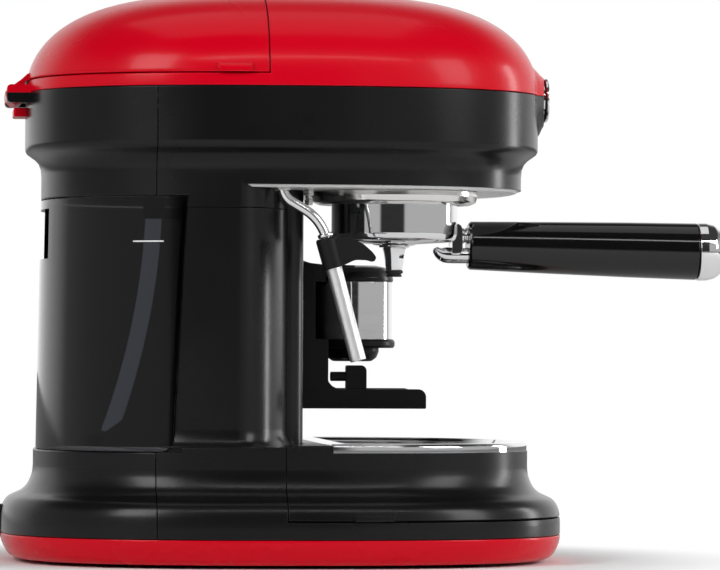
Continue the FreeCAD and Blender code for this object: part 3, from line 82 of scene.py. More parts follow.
class EspressoColours(bpy.types.PropertyGroup):
    """Colours of the finishes, linear."""

    red: colour_of("Red", "Glossy cover, lid and pan", (0.64, 0.0, 0.012, 1.0))
    black: colour_of("Black", "Glossy black housing", (0.005, 0.005, 0.0055, 1.0))
    satin: colour_of("Satin black", "Working parts in satin black", (0.004, 0.004, 0.004, 1.0))
    handle: colour_of("Handle", "Glossy black of the handle", (0.004, 0.004, 0.004, 1.0))
    grey: colour_of("Underside", "Silver-grey plate under the head", (0.80, 0.80, 0.80, 1.0))
    chrome: colour_of("Chrome", "Bright plated metal", (0.84, 0.84, 0.85, 1.0))
    satin_steel: colour_of("Satin steel", "Steam wand's outer tube", (0.86, 0.86, 0.86, 1.0))
    steel: colour_of("Steel", "Brushed steel", (0.60, 0.59, 0.58, 1.0))
    aluminium: colour_of("Aluminium", "Turned aluminium", (0.82, 0.81, 0.79, 1.0))
    smoke: colour_of("Smoke", "Tint of the water tank", (0.055, 0.055, 0.060, 1.0))
    rubber: colour_of("Rubber", "Feet and seals", (0.020, 0.020, 0.021, 1.0))
    floor: colour_of("Floor", "Pale worktop", (0.92, 0.92, 0.92, 1.0))


class EspressoSizes(bpy.types.PropertyGroup):
    """Sizes of the trim that the frame leaves open."""

    seam: length_of("Seam", "Open joint between two mouldings", 0.5)
    rim: length_of("Rim", "Radius over the drip grid's rim", 2.2)


def colours():
    return bpy.context.scene.espresso_colours


def seam():
    return bpy.context.scene.espresso_sizes.seam / MM


# ---- node groups ---------------------------------------------------------------------------
def new_group(name, inputs, outputs):
    """Empty shader group with float inputs (name, default) and float outputs."""
    group = bpy.data.node_groups.new(name, "ShaderNodeTree")
    for label, default in inputs:
        socket = group.interface.new_socket(label, in_out="INPUT", socket_type="NodeSocketFloat")
        socket.default_value = default
    for label in outputs:
        group.interface.new_socket(label, in_out="OUTPUT", socket_type="NodeSocketFloat")
    return group, group.nodes.new("NodeGroupInput"), group.nodes.new("NodeGroupOutput")


def feed(tree, slot, value):
    """Give an input a plain number or another node's output."""
    if isinstance(value, (int, float)):
        slot.default_value = value
    else:
        tree.links.new(value, slot)


def maths(tree, operation, *values):
    """Math node fed by outputs or plain numbers."""
    node = tree.nodes.new("ShaderNodeMath")
    node.operation = operation
    for slot, value in zip(node.inputs, values):
        feed(tree, slot, value)
    return node.outputs[0]


def ranged(tree, value, low, high, to_low, to_high):
    """Map Range node, smooth, fed by outputs or plain numbers."""
    node = tree.nodes.new("ShaderNodeMapRange")
    node.interpolation_type = "SMOOTHSTEP"
    for slot, item in zip(node.inputs, (value, low, high, to_low, to_high)):
        feed(tree, slot, item)
    return node.outputs[0]


def noise(tree, vector, scale, detail=3.0, rough=0.5):
    node = tree.nodes.new("ShaderNodeTexNoise")
    for label, value in (("Detail", detail), ("Roughness", rough), ("Scale", scale), ("Vector", vector)):
        feed(tree, node.inputs[label], value)
    return node.outputs["Fac"]


def vector_maths(tree, operation, *values):
    node = tree.nodes.new("ShaderNodeVectorMath")
    node.operation = operation
    for slot, value in zip(node.inputs, values):
        tree.links.new(value, slot)
    return node.outputs["Value" if operation in ("LENGTH", "DOT_PRODUCT") else "Vector"]


def spot(tree):
    """Place on the piece, in its own coordinates."""
    return tree.nodes.new("ShaderNodeTexCoord").outputs["Object"]


def rounded(tree, radius):
    """Normal of a surface whose edges are rounded a little."""
    node = tree.nodes.new("ShaderNodeBevel")
    node.samples = 4
    node.inputs["Radius"].default_value = radius
    return node.outputs[0]


def grain_group():
    """Fine moulding grain, with slow drifts of gloss."""
    group = bpy.data.node_groups.get("Moulding grain")
    if group:
        return group
    group, into, out = new_group(
        "Moulding grain", [("Scale", 900.0), ("Gloss low", 0.2), ("Gloss high", 0.3)],
        ["Height", "Roughness"])
    where = spot(group)
    fine = noise(group, where, into.outputs["Scale"], 2.0)
    slow = noise(group, where, 14.0, 4.0)
    group.links.new(fine, out.inputs["Height"])
    rough = ranged(group, slow, 0.3, 0.7, into.outputs["Gloss low"], into.outputs["Gloss high"])
    group.links.new(rough, out.inputs["Roughness"])
    return group


def wear_group():
    """Edges where handling has polished or paled the finish."""
    group = bpy.data.node_groups.get("Edge wear")
    if group:
        return group
    group, into, out = new_group("Edge wear", [("From", 0.01), ("To", 0.12)], ["Mask"])
    normal = group.nodes.new("ShaderNodeNewGeometry").outputs["Normal"]
    turned = maths(group, "SUBTRACT", 1.0, vector_maths(group, "DOT_PRODUCT", rounded(group, 0.0006), normal))
    edge = ranged(group, turned, into.outputs["From"], into.outputs["To"], 0.0, 1.0)
    patch = ranged(group, noise(group, spot(group), 60.0, 4.0), 0.35, 0.65, 0.2, 1.0)
    group.links.new(maths(group, "MULTIPLY", edge, patch), out.inputs["Mask"])
    return group


def dust_group():
    """Fine dust that settles on faces that look up."""
    group = bpy.data.node_groups.get("Settled dust")
    if group:
        return group
    group, into, out = new_group("Settled dust", [("Amount", 0.05)], ["Mask"])
    normal = group.nodes.new("ShaderNodeNewGeometry").outputs["Normal"]
    split = group.nodes.new("ShaderNodeSeparateXYZ")
    group.links.new(normal, split.inputs[0])
    up = ranged(group, split.outputs["Z"], 0.3, 1.0, 0.0, 1.0)
    specks = ranged(group, noise(group, spot(group), 420.0, 5.0, 0.7), 0.42, 0.75, 0.2, 1.0)
    settled = maths(group, "MULTIPLY", maths(group, "MULTIPLY", up, specks), into.outputs["Amount"])
    group.links.new(settled, out.inputs["Mask"])
    return group


def brush_group():
    """Lines that a brush or a lathe leaves, level round the piece."""
    group = bpy.data.node_groups.get("Brush lines")
    if group:
        return group
    group, into, out = new_group(
        "Brush lines", [("Across", 30.0), ("Up", 1800.0), ("Gloss low", 0.2), ("Gloss high", 0.4)],
        ["Height", "Roughness"])
    scale = group.nodes.new("ShaderNodeCombineXYZ")
    for axis, label in (("X", "Across"), ("Y", "Across"), ("Z", "Up")):
        group.links.new(into.outputs[label], scale.inputs[axis])
    lines = noise(group, vector_maths(group, "MULTIPLY", spot(group), scale.outputs[0]), 1.0, 4.0, 0.6)
    group.links.new(lines, out.inputs["Height"])
    rough = ranged(group, lines, 0.3, 0.7, into.outputs["Gloss low"], into.outputs["Gloss high"])
    group.links.new(rough, out.inputs["Roughness"])
    return group


def place(tree, group, **values):
    """Group node in a material, with its own values."""
    node = tree.nodes.new("ShaderNodeGroup")
    node.node_tree = group
    for label, value in values.items():
        node.inputs[label.replace("_", " ").capitalize()].default_value = value
    return node


# ---- materials -----------------------------------------------------------------------------
DUST = (0.5, 0.49, 0.47, 1.0)


def blank(name):
    """Material with a Principled shader and its output only."""
    material = bpy.data.materials.new("finish_" + name)
    material.use_nodes = True
    tree = material.node_tree
    tree.nodes.clear()
    shader = tree.nodes.new("ShaderNodeBsdfPrincipled")
    output = tree.nodes.new("ShaderNodeOutputMaterial")
    tree.links.new(shader.outputs[0], output.inputs[0])
    return tree, shader


def soft_normal(tree, shader, height, strength, distance):
    """Bump over edges that the shader rounds a little."""
    bump = tree.nodes.new("ShaderNodeBump")
    for label, value in (("Strength", strength), ("Distance", distance), ("Height", height),
                         ("Normal", rounded(tree, 0.0004))):
        feed(tree, bump.inputs[label], value)
    tree.links.new(bump.outputs[0], shader.inputs["Normal"])


def tinted(tree, shader, colour, worn, mask, dusty=None):
    """Base colour that pales at worn edges and under dust."""
    first = tree.nodes.new("ShaderNodeMix")
    first.data_type = "RGBA"
    first.inputs[6].default_value = colour
    first.inputs[7].default_value = worn
    tree.links.new(mask, first.inputs[0])
    last = first.outputs[2]
    if dusty is not None:
        second = tree.nodes.new("ShaderNodeMix")
        second.data_type = "RGBA"
        second.inputs[7].default_value = DUST
        tree.links.new(last, second.inputs[6])
        tree.links.new(dusty, second.inputs[0])
        last = second.outputs[2]
    tree.links.new(last, shader.inputs["Base Color"])


def lighter(colour, by):
    return tuple(min(1.0, c + by) for c in colour[:3]) + (1.0,)


def moulded(name, colour, gloss, scale, bump, coat=0.0, coat_gloss=0.08, dust=0.03, specular=0.5, worn=0.03):
    """Moulded or painted plastic: grain, drifting gloss, worn edges and a little dust."""
    tree, shader = blank(name)
    grain = place(tree, grain_group(), scale=scale, gloss_low=gloss[0], gloss_high=gloss[1])
    wear = place(tree, wear_group())
    settled = place(tree, dust_group(), amount=dust)
    tinted(tree, shader, colour, lighter(colour, worn), wear.outputs["Mask"], settled.outputs["Mask"])
    tree.links.new(grain.outputs["Roughness"], shader.inputs["Roughness"])
    soft_normal(tree, shader, grain.outputs["Height"], bump, 0.00008)
    shader.inputs["Specular IOR Level"].default_value = specular
    shader.inputs["Coat Weight"].default_value = coat
    shader.inputs["Coat Roughness"].default_value = coat_gloss
    return shader


def metal(name, colour, gloss, across, up, bump):
    """Plated, brushed or turned metal."""
    tree, shader = blank(name)
    lines = place(tree, brush_group(), across=across, up=up, gloss_low=gloss[0], gloss_high=gloss[1])
    wear = place(tree, wear_group())
    tinted(tree, shader, colour, lighter(colour, 0.05), wear.outputs["Mask"])
    tree.links.new(lines.outputs["Roughness"], shader.inputs["Roughness"])
    soft_normal(tree, shader, lines.outputs["Height"], bump, 0.00003)
    shader.inputs["Metallic"].default_value = 1.0


def see_through(name, colour, gloss, ior):
    """Clear or smoky plastic, lightly clouded."""
    tree, shader = blank(name)
    grain = place(tree, grain_group(), scale=500.0, gloss_low=gloss[0], gloss_high=gloss[1])
    settled = place(tree, dust_group(), amount=0.02)
    tinted(tree, shader, colour, lighter(colour, 0.03), settled.outputs["Mask"])
    tree.links.new(grain.outputs["Roughness"], shader.inputs["Roughness"])
    shader.inputs["Transmission Weight"].default_value = 1.0
    shader.inputs["IOR"].default_value = ior


def build_finishes():
    """Every finish by name, built once."""
    if "finish_chrome" in bpy.data.materials:
        return
    tone = colours()
    moulded("red_gloss", tone.red, (0.22, 0.30), 700.0, 0.05, 0.08, 0.08, dust=0.0, specular=0.14, worn=0.01)
    moulded("black_gloss", tone.black, (0.22, 0.30), 900.0, 0.06, 0.05, 0.12, dust=0.001, specular=0.24,
            worn=0.01)
    moulded("black_plastic", tone.satin, (0.30, 0.42), 1100.0, 0.14, dust=0.002, specular=0.2, worn=0.01)
    moulded("matte_black", tone.satin, (0.46, 0.58), 1300.0, 0.2, dust=0.002, specular=0.25, worn=0.01)
    moulded("handle_black", tone.handle, (0.08, 0.12), 500.0, 0.02, 0.0, 0.03, dust=0.0, worn=0.01)
    moulded("grey_plastic", tone.grey, (0.28, 0.36), 900.0, 0.06, dust=0.0)
    moulded("rubber", tone.rubber, (0.6, 0.75), 700.0, 0.25, specular=0.35)
    moulded("level_white", (0.80, 0.80, 0.80, 1.0), (0.4, 0.5), 900.0, 0.02, dust=0.0)
    moulded("board", (0.02, 0.14, 0.05, 1.0), (0.35, 0.45), 1300.0, 0.2)
    # the silicone pickup tube gets a painted glow, an emission that makes it look lit inside the dark tank
    painted_glow(moulded("silicone", (0.50, 0.55, 0.62, 1.0), (0.3, 0.4), 500.0, 0.05, dust=0.0))
    metal("chrome", tone.chrome, (0.03, 0.07), 20.0, 500.0, 0.03)
    metal("satin_steel", tone.satin_steel, (0.36, 0.42), 900.0, 60.0, 0.06)
    metal("steel", tone.steel, (0.20, 0.34), 30.0, 2600.0, 0.3)
    metal("aluminium", tone.aluminium, (0.14, 0.20), 30.0, 1200.0, 0.08)
    see_through("smoke_plastic", tone.smoke, (0.03, 0.07), 1.38)
    see_through("clear_plastic", (0.90, 0.91, 0.92, 1.0), (0.03, 0.06), 1.46)


def painted_glow(shader):
    """Painted glow: emission that makes the milky tube look lit from within, though it is no lamp."""
    shader.inputs["Emission Color"].default_value = (0.30, 0.33, 0.37, 1.0)
    shader.inputs["Emission Strength"].default_value = 1.7


def finish(name):
    return bpy.data.materials["finish_" + name]


CARRIED = {
    "red_gloss": ["base_pan", "top_cover", "lid", "lid_stop"],
    "black_gloss": ["base_front", "base_rear", "drip_tray", "column_shell", "splash_panel",
                    "head_front", "head_rear", "button_plate"],
    "black_plastic": ["cord_gland", "deck", "filler_cap", "outlet_hood", "outlet_frame", "outlet_mouth",
                      "fork", "grind_lever", "wand_grip", "tube_clip", "grinder_housing"],
    "handle_black": ["portafilter_handle"],
    "grey_plastic": ["head_plate"],
    "rubber": ["feet", "group_gasket", "spout_rings"],
    "silicone": ["pickup_tube"],
    "board": ["control_board"],
    "chrome": ["drip_grid", "bezel", "portafilter_cup", "spout", "portafilter_neck", "handle_cap",
               "outlet_cylinder", "wand_pipe", "wand_collar", "hinge_pin", "button_power",
               "button_one_cup", "button_two_cups", "button_steam"],
    "steel": ["filter_basket", "shower_screen", "wand_nut", "steam_fitting", "upper_burr", "lower_burr",
              "burr_shaft", "grinder_motor", "pump"],
    "aluminium": ["group_collar", "boiler", "wand_sleeve"],
    "smoke_plastic": ["water_tank"],
    "clear_plastic": ["bean_hopper", "hopper_lid"],
}


def dress_carried_nodes():
    for name, nodes in CARRIED.items():
        for node in nodes:
            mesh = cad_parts[node].data
            mesh.materials.clear()
            mesh.materials.append(finish(name))


# ---- mesh helpers; sections and points are in millimetres -----------------------------------
def drawn(points, closed=False, steps=4):
    """Polyline whose corners that carry a third number are arcs of that radius."""
    drawn_points = []
    for i, point in enumerate(points):
        radius = point[2] if len(point) > 2 else 0.0
        if radius <= 0.0 or (not closed and i in (0, len(points) - 1)):
            drawn_points.append((point[0], point[1]))
            continue
        here = Vector(point[:2])
        into = Vector(points[i - 1][:2]) - here
        out = Vector(points[(i + 1) % len(points)][:2]) - here
        half = into.angle(out) / 2.0
        reach = min(radius / math.tan(half), 0.48 * into.length, 0.48 * out.length)
        radius = reach * math.tan(half)
        into.normalize()
        out.normalize()
        centre = here + (into + out).normalized() * (radius / math.sin(half))
        first, last = here + into * reach - centre, here + out * reach - centre
        for step in range(steps + 1):
            spoke = first.lerp(last, step / steps).normalized() * radius
            drawn_points.append(tuple(centre + spoke))
    return drawn_points


def curved(points, per=4):
    """Smooth curve through points, as a finer polyline."""
    fine = []
    padded = [points[0]] + list(points) + [points[-1]]
    for a, b, c, d in zip(padded, padded[1:], padded[2:], padded[3:]):
        for step in range(per):
            t = step / per
            fine.append(tuple(
                0.5 * (2 * q + (r - p) * t + (2 * p - 5 * q + 4 * r - s) * t * t
                       + (3 * q - p - 3 * r + s) * t * t * t)
                for p, q, r, s in zip(a, b, c, d)))
    return fine + [tuple(points[-1])]


def between(profile, low, high):
    """The stretch of a (half-length, height) profile between two heights."""
    kept = []
    for (a, z), (b, w) in zip(profile, profile[1:]):
        for limit in (low, high):
            if min(z, w) < limit < max(z, w):
                kept.append((a + (b - a) * (limit - z) / (w - z), limit))
        if low <= w <= high:
            kept.append((b, w))
    if low <= profile[0][1] <= high:
        kept.append(profile[0])
    return sorted(set(kept), key=lambda point: point[1])


def outline(half, z, count=AROUND):
    """Ring of the housing's plan for one half-length."""
    ring = []
    for step in range(count):
        angle = 2.0 * math.pi * step / count
        c, s = math.cos(angle), math.sin(angle)
        r = (abs(c) ** POWER + abs(s) ** POWER) ** (-1.0 / POWER)
        ring.append(Vector((RATIO * half * r * c, half * r * s, z)))
    return ring


def circle(radius, z, x=0.0, y=0.0, count=72):
    return [Vector((x + radius * math.cos(2 * math.pi * i / count),
                    y + radius * math.sin(2 * math.pi * i / count), z)) for i in range(count)]


def skin(rings, wrap=False):
    """Mesh over rings of equal length; a ring of one point is a tip."""
    bm = bmesh.new()
    rows = [[bm.verts.new(point) for point in ring] for ring in rings]
    pairs = list(zip(rows, rows[1:]))
    if wrap:
        pairs.append((rows[-1], rows[0]))
    for low, high in pairs:
        count = max(len(low), len(high))
        for i in range(count):
            j = (i + 1) % count
            corners = (low[i % len(low)], low[j % len(low)], high[j % len(high)], high[i % len(high)])
            face = list(dict.fromkeys(corners))
            if len(face) > 2:
                bm.faces.new(face)
    bmesh.ops.recalc_face_normals(bm, faces=bm.faces)
    return bm


def housing(section, wrap=False, steps=4):
    """Solid whose section, given as (half-length, height), runs round the housing's plan."""
    section = drawn(section, wrap, steps)
    return skin([outline(a, z) if a > 0.01 else [Vector((0, 0, z))] for a, z in section], wrap)


def lathed(section, x=0.0, y=0.0, wrap=False, count=72, steps=4):
    """Solid turned about an upright axis from (radius, height) points."""
    section = drawn(section, wrap, steps)
    return skin([circle(r, z, x, y, count) if r > 0.01 else [Vector((x, y, z))] for r, z in section], wrap)


def laid(bm, start, direction):
    """Move a solid built round +Z so that it runs from a point in a direction."""
    turn = Vector((0, 0, 1)).rotation_difference(Vector(direction)).to_matrix().to_4x4()
    bmesh.ops.transform(bm, matrix=Matrix.Translation(Vector(start)) @ turn, verts=bm.verts)
    return bm


def prism(points, low, high, axis="X", steps=4):
    """Polygon run along one axis; its corners may carry a radius."""
    place_at = {"X": lambda p, h: (h, p[0], p[1]), "Y": lambda p, h: (p[0], h, p[1]),
                "Z": lambda p, h: (p[0], p[1], h)}[axis]
    points = drawn(points, True, steps)
    bm = bmesh.new()
    rows = [[bm.verts.new(place_at(point, h)) for point in points] for h in (low, high)]
    bm.faces.new(rows[0])
    bm.faces.new(list(reversed(rows[1])))
    for i in range(len(points)):
        j = (i + 1) % len(points)
        bm.faces.new((rows[0][j], rows[0][i], rows[1][i], rows[1][j]))
    bmesh.ops.recalc_face_normals(bm, faces=bm.faces)
    return bm


def block(x, y, z):
    return prism([(x[0], y[0]), (x[1], y[0]), (x[1], y[1]), (x[0], y[1])], z[0], z[1], "Z")


def drum(x, y, radius, low, high, count=48):
    return skin([[Vector((x, y, low))], circle(radius, low, x, y, count),
                 circle(radius, high, x, y, count), [Vector((x, y, high))]])


def sliced(bm, y, normal):
    """Cut at a plane across the machine, and close the cut."""
    everything = bm.verts[:] + bm.edges[:] + bm.faces[:]
    bmesh.ops.bisect_plane(bm, geom=everything, plane_co=(0, y, 0), plane_no=normal, clear_outer=True)
    rims = [edge for edge in bm.edges if edge.is_boundary]
    bmesh.ops.triangle_fill(bm, use_beauty=True, edges=rims)
    bmesh.ops.recalc_face_normals(bm, faces=bm.faces)
    return bm


def ahead(bm, y):
    """Keep what lies ahead of a plane."""
    return sliced(bm, y, (0, 1, 0))


def behind(bm, y):
    """Keep what lies behind a plane."""
    return sliced(bm, y, (0, -1, 0))


def spun(bm, x, y, degrees):
    """Turn a solid about the upright axis and move it to a place in plan."""
    turn = Matrix.Rotation(math.radians(degrees), 4, "Z")
    bmesh.ops.transform(bm, matrix=Matrix.Translation((x, y, 0)) @ turn, verts=bm.verts)
    return bm


def capped(rings):
    """Solid over rings, closed at both ends round their middles."""
    ends = [[sum(ring, Vector()) / len(ring)] for ring in (rings[0], rings[-1])]
    return skin([ends[0]] + rings + [ends[1]])


def held(bm, name="work"):
    mesh = bpy.data.meshes.new(name)
    bm.to_mesh(mesh)
    bm.free()
    thing = bpy.data.objects.new(name, mesh)
    bpy.context.scene.collection.objects.link(thing)
    return thing


def combined(bm, others, operation="DIFFERENCE"):
    """Solid after cutting away, joining or keeping what it shares with other solids."""
    base = held(bm)
    helpers = []
    for other in others:
        helper = held(other)
        change = base.modifiers.new("change", "BOOLEAN")
        change.object, change.operation, change.solver = helper, operation, "EXACT"
        helpers.append(helper)
    graph = bpy.context.evaluated_depsgraph_get()
    graph.update()
    mesh = bpy.data.meshes.new_from_object(base.evaluated_get(graph))
    result = bmesh.new()
    result.from_mesh(mesh)
    bpy.data.meshes.remove(mesh)
    for thing in [base] + helpers:
        data = thing.data
        bpy.data.objects.remove(thing)
        bpy.data.meshes.remove(data)
    if not result.faces:
        raise RuntimeError("a boolean left nothing")
    bmesh.ops.remove_doubles(result, verts=result.verts, dist=0.002)
    bmesh.ops.dissolve_degenerate(result, edges=result.edges, dist=0.002)
    return result


def less(bm, *others):
    return combined(bm, others)


def plus(bm, *others):
    return combined(bm, others, "UNION")


def shared(bm, *others):
    return combined(bm, others, "INTERSECT")


def merged(*parts):
    """Separate solids as one mesh."""
    mesh = bpy.data.meshes.new("work")
    whole = bmesh.new()
    for bm in parts:
        bm.to_mesh(mesh)
        bm.free()
        whole.from_mesh(mesh)
    bpy.data.meshes.remove(mesh)
    return whole


def piece(name, bm, look, body, stands_for=(), edge=0.0, sharp=38.0):
    """Turn a mesh in millimetres into a finished piece that rides on a body."""
    bmesh.ops.scale(bm, vec=(MM, MM, MM), verts=bm.verts)
    mesh = bpy.data.meshes.new(name)
    bm.to_mesh(mesh)
    bm.free()
    mesh.shade_smooth()
    mesh.set_sharp_from_angle(angle=math.radians(sharp))
    thing = bpy.data.objects.new(name, mesh)
    bpy.context.scene.collection.objects.link(thing)
    if edge:
        bevel = thing.modifiers.new("broken edges", "BEVEL")
        bevel.width, bevel.segments = edge * MM, 3
        bevel.limit_method, bevel.angle_limit = "ANGLE", math.radians(32.0)
        bevel.harden_normals = False
    even = thing.modifiers.new("even shading", "WEIGHTED_NORMAL")
    even.keep_sharp, even.weight = True, 60
    mesh.materials.append(finish(look))
    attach(thing, body)
    if stands_for:
        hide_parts(*stands_for)


# ---- base, tray and grid ---------------------------------------------------------------------
FLARE = curved([(158.5, 22.0), (158.1, 27.5), (156.9, 32.0), (154.2, 35.6), (150.3, 37.6), (146.6, 39.4),
                (143.5, 42.4), (141.6, 46.0), (140.4, 49.8), (140.0, 54.0)], 3)
BASE_SIDE = [(158.5, BASE_LOW)] + FLARE + [(140.0, 67.0)]
TRAY_LOW, TRAY_TOP, GRID_TOP = 26.0, 67.0, 68.0
FEET = [(x, y) for x in (-88.0, 88.0) for y in (-98.0, 98.0)]


def tray_line(gap):
    """Front edge of the ground behind the tray, as (x, y) from left to right."""
    line = []
    for step in range(161):
        x = -150.0 + 300.0 * step / 160.0
        y = 5.5 - gap
        wide, deep = 123.0 + gap, 47.6 + gap
        if abs(x) < wide:
            y = min(y, 40.0 - deep * (1.0 - (abs(x) / wide) ** POWER) ** (1.0 / POWER))
        line.append((x, y))
    left, right, front, corner = -71.0 - gap, 97.0 + gap, -9.6 - gap, 9.0
    arc = []
    for step in range(9):
        turn = math.pi / 2.0 * step / 8.0
        arc.append((corner * (1.0 - math.cos(turn)), corner * (1.0 - math.sin(turn))))
    panel = [(left + a, front + b) for a, b in arc] + [(right - a, front + b) for a, b in reversed(arc)]
    outer = [p for p in line if p[0] < left or p[0] > right]
    return [p for p in outer if p[0] < 0] + panel + [p for p in outer if p[0] > 0]


def tray_zone(gap, low, high):
    """Solid over everything ahead of the tray's rear edge."""
    return prism([(-150.0, -200.0)] + tray_line(gap) + [(150.0, -200.0)], low, high, "Z")


def build_pan():
    rim = curved([(150.5, 2.0), (154.0, 4.0), (156.6, 8.0), (158.1, 12.0), (158.5, 15.2)], 4)
    dish = housing([(0.0, 2.0), (148.0, 2.0)] + rim
                   + [(158.3, 15.8), (155.4, 15.8), (152.0, 7.0), (0.0, 6.0)])
    pockets = [drum(x, y, 9.0, 1.0, 5.0) for x, y in FEET]
    piece("pan", less(dish, merged(*pockets)), "red_gloss", "machine", ["base_pan"])


def base_solid(top, corner):
    """Flared base up to a height, with its upper edge rounded."""
    side = between(BASE_SIDE, BASE_LOW, top)
    return housing([(0.0, BASE_LOW), (158.0, BASE_LOW), (158.5, 16.5)] + side[1:-1]
                   + [(140.0, top, corner), (0.0, top)])


def build_base():
    front = ahead(base_solid(BASE_TOP, 1.0), SEAM_Y - seam() / 2.0)
    notch = block((-160, 160), (62.0, 90.0), (LEDGE, 80.0))
    front = less(front, tray_zone(0.0, 25.5, 80.0), notch)
    piece("base_column_side", front, "black_gloss", "machine", ["base_front"])
    rear = behind(base_solid(LEDGE, 0.8), SEAM_Y + seam() / 2.0)
    low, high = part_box("cord_gland")
    middle, level = (low[0] + high[0]) / 2.0 / MM, (low[2] + high[2]) / 2.0 / MM
    bore = laid(drum(0, 0, 3.9, 0.0, 60.0), (middle, 120.0, level), (0, 1, 0))
    piece("base_tank_side", less(rear, bore), "black_gloss", "machine", ["base_rear"])


def build_tray():
    gap = seam()
    side = between(BASE_SIDE, TRAY_LOW, TRAY_TOP)
    body = housing([(0.0, TRAY_LOW), (side[0][0] - 0.8, TRAY_LOW), (side[0][0], 26.8)] + side[2:-1]
                   + [(140.0, TRAY_TOP, 1.6), (0.0, TRAY_TOP)])
    body = shared(body, tray_zone(gap, 20.0, 80.0))
    room = block((-160, 160), (-200.0, -20.0), (63.0, 80.0))
    inner = housing([(0.0, 28.6), (149.0, 28.6, 4.0), (136.6, 40.0, 6.0), (136.6, 80.0), (0.0, 80.0)])
    cavity = shared(inner, tray_zone(gap + 3.0, 20.0, 64.0))
    body = less(body, room, cavity)
    tabs = []
    for sign in (-1.0, 1.0):
        reach = housing([(120.0, TRAY_LOW), (161.0, TRAY_LOW, 0.8), (160.6, 29.8, 1.0), (120.0, 29.8)], True)
        edge = [(130.0, -53.4), (134.0, -53.4), (150.0, -50.6), (150.0, -33.4), (134.0, -30.6),
                (130.0, -30.6)]
        wedge = prism([(sign * x, y) for x, y in edge], 20.0, 40.0, "Z")
        tabs.append(shared(reach, wedge))
    piece("tray", plus(body, *tabs), "black_gloss", "tray", ["drip_tray"])


def build_grid():
    rim = bpy.context.scene.espresso_sizes.rim / MM
    body = housing([(0.0, 65.2), (136.4, 65.2), (136.4, 63.0), (139.6, 63.0), (139.6, GRID_TOP, rim),
                    (131.8, GRID_TOP, 1.2), (130.4, 65.8, 0.8), (0.0, 65.8)], steps=5)
    body = ahead(body, -20.5)
    bar = prism([(-26.0, 65.2), (-20.5, 65.2), (-20.5, GRID_TOP, rim), (-28.6, GRID_TOP, 1.2),
                 (-30.0, 65.8, 0.8), (-30.0, 65.2)], -200.0, 200.0, "X", 5)
    keep = housing([(0.0, 60.0), (137.4, 60.0), (137.4, 70.0), (0.0, 70.0)])
    body = plus(body, shared(bar, keep))
    slots = []
    for row in range(5):
        y = -42.0 - row * 20.0
        half = (92.0, 90.0, 84.0, 72.0, 48.0)[row]
        count = int(2 * half // 13.0)
        for step in range(count):
            x = (step - (count - 1) / 2.0) * 13.0
            ends = [(x - 2.0, y - 7.0, 1.9), (x + 2.0, y - 7.0, 1.9), (x + 2.0, y + 7.0, 1.9),
                    (x - 2.0, y + 7.0, 1.9)]
            slots.append(prism(ends, 60.0, 70.0, "Z", 3))
    piece("grid", less(body, merged(*slots)), "chrome", "grid", ["drip_grid"])


# ---- group and portafilter -------------------------------------------------------------------
GROUP = (-50.0, -60.5)
SPOUT_TOP, CUP_LOW = 164.4, 178.4


def build_group():
    x, y = GROUP
    ring = lathed([(36.0, 200.9, 0.6), (42.4, 200.9, 0.8), (45.6, 202.2, 1.6), (46.6, 205.4, 1.2),
                   (46.6, 208.2, 0.3), (46.2, 208.6, 0.2), (46.2, 209.2, 0.2), (46.6, 209.6, 0.3),
                   (46.6, 214.0), (30.0, 214.0), (30.0, 212.4), (39.4, 212.4), (39.4, 203.3), (36.0, 203.3)],
                  x, y, True, 96, 3)
    gaps = []
    for step in range(3):
        gap = block((-8.0, 8.0), (30.0, 39.4), (199.0, 204.0))
        gaps.append(spun(gap, x, y, 70.0 + 120.0 * step))
    piece("collar", less(ring, *gaps), "aluminium", "machine", ["group_collar"], sharp=30.0)


def build_cup():
    x, y = GROUP
    cup = lathed([(3.0, CUP_LOW), (11.0, CUP_LOW, 0.6), (12.4, 179.1, 0.6), (30.6, 180.2, 3.0),
                  (34.4, 181.4, 2.4), (35.5, 184.4, 2.0), (35.5, 207.0, 0.5), (32.6, 207.0, 0.5),
                  (32.6, 186.2, 2.0), (30.0, 183.4, 2.0), (3.0, 180.8)], x, y, True, 96, 4)
    lugs = []
    for step in range(3):
        lug = prism([(-7.2, 33.8), (7.2, 33.8), (6.8, 38.0, 1.0), (0.0, 38.7, 8.0), (-6.8, 38.0, 1.0)],
                    203.6, 206.2, "Z")
        lugs.append(spun(lug, x, y, 120.0 * step - 90.0))
    boss = prism([(-98.2, 173.8, 2.6), (-98.2, 190.6, 3.2), (-90.0, 190.6, 1.0), (-90.0, 173.8, 1.0)],
                 x - 8.8, x + 8.8)
    boss = less(boss, drum(x, y, 33.0, 150.0, 220.0, 64))
    piece("cup", plus(cup, boss, *lugs), "chrome", "portafilter", ["portafilter_cup"], edge=0.5,
          sharp=30.0)


def build_spout():
    x, y = GROUP
    flange = lathed([(2.6, 177.2), (8.2, 177.2, 0.4), (8.6, 177.8, 0.3), (8.6, CUP_LOW), (2.6, CUP_LOW)],
                    x, y, True, 64)
    rings = []
    for radius, z in ((6.5, 177.6), (6.9, 176.6), (6.3, 175.2), (5.6, 171.6), (5.0, 166.2), (4.5, SPOUT_TOP)):
        rings.append([Vector((x + radius * math.cos(math.pi / 8.0 * (2 * i + 1)),
                              y + radius * math.sin(math.pi / 8.0 * (2 * i + 1)), z)) for i in range(8)])
    nozzle = skin([[Vector((x, y, 177.6))]] + rings + [[Vector((x, y, SPOUT_TOP))]])
    nozzle = less(nozzle, drum(x, y, 2.6, 150.0, 190.0))
    piece("spout", plus(flange, nozzle), "chrome", "portafilter", ["spout"], edge=0.25, sharp=20.0)
    rings = lathed([(2.6, 160.7), (4.2, 160.7, 0.4), (4.5, 161.3, 0.4), (3.6, 162.2, 0.3), (4.9, 162.8, 0.5),
                    (5.0, 163.8, 0.5), (4.5, SPOUT_TOP), (2.6, SPOUT_TOP)], x, y, True, 48)
    piece("spout_seals", rings, "rubber", "portafilter", ["spout_rings"])


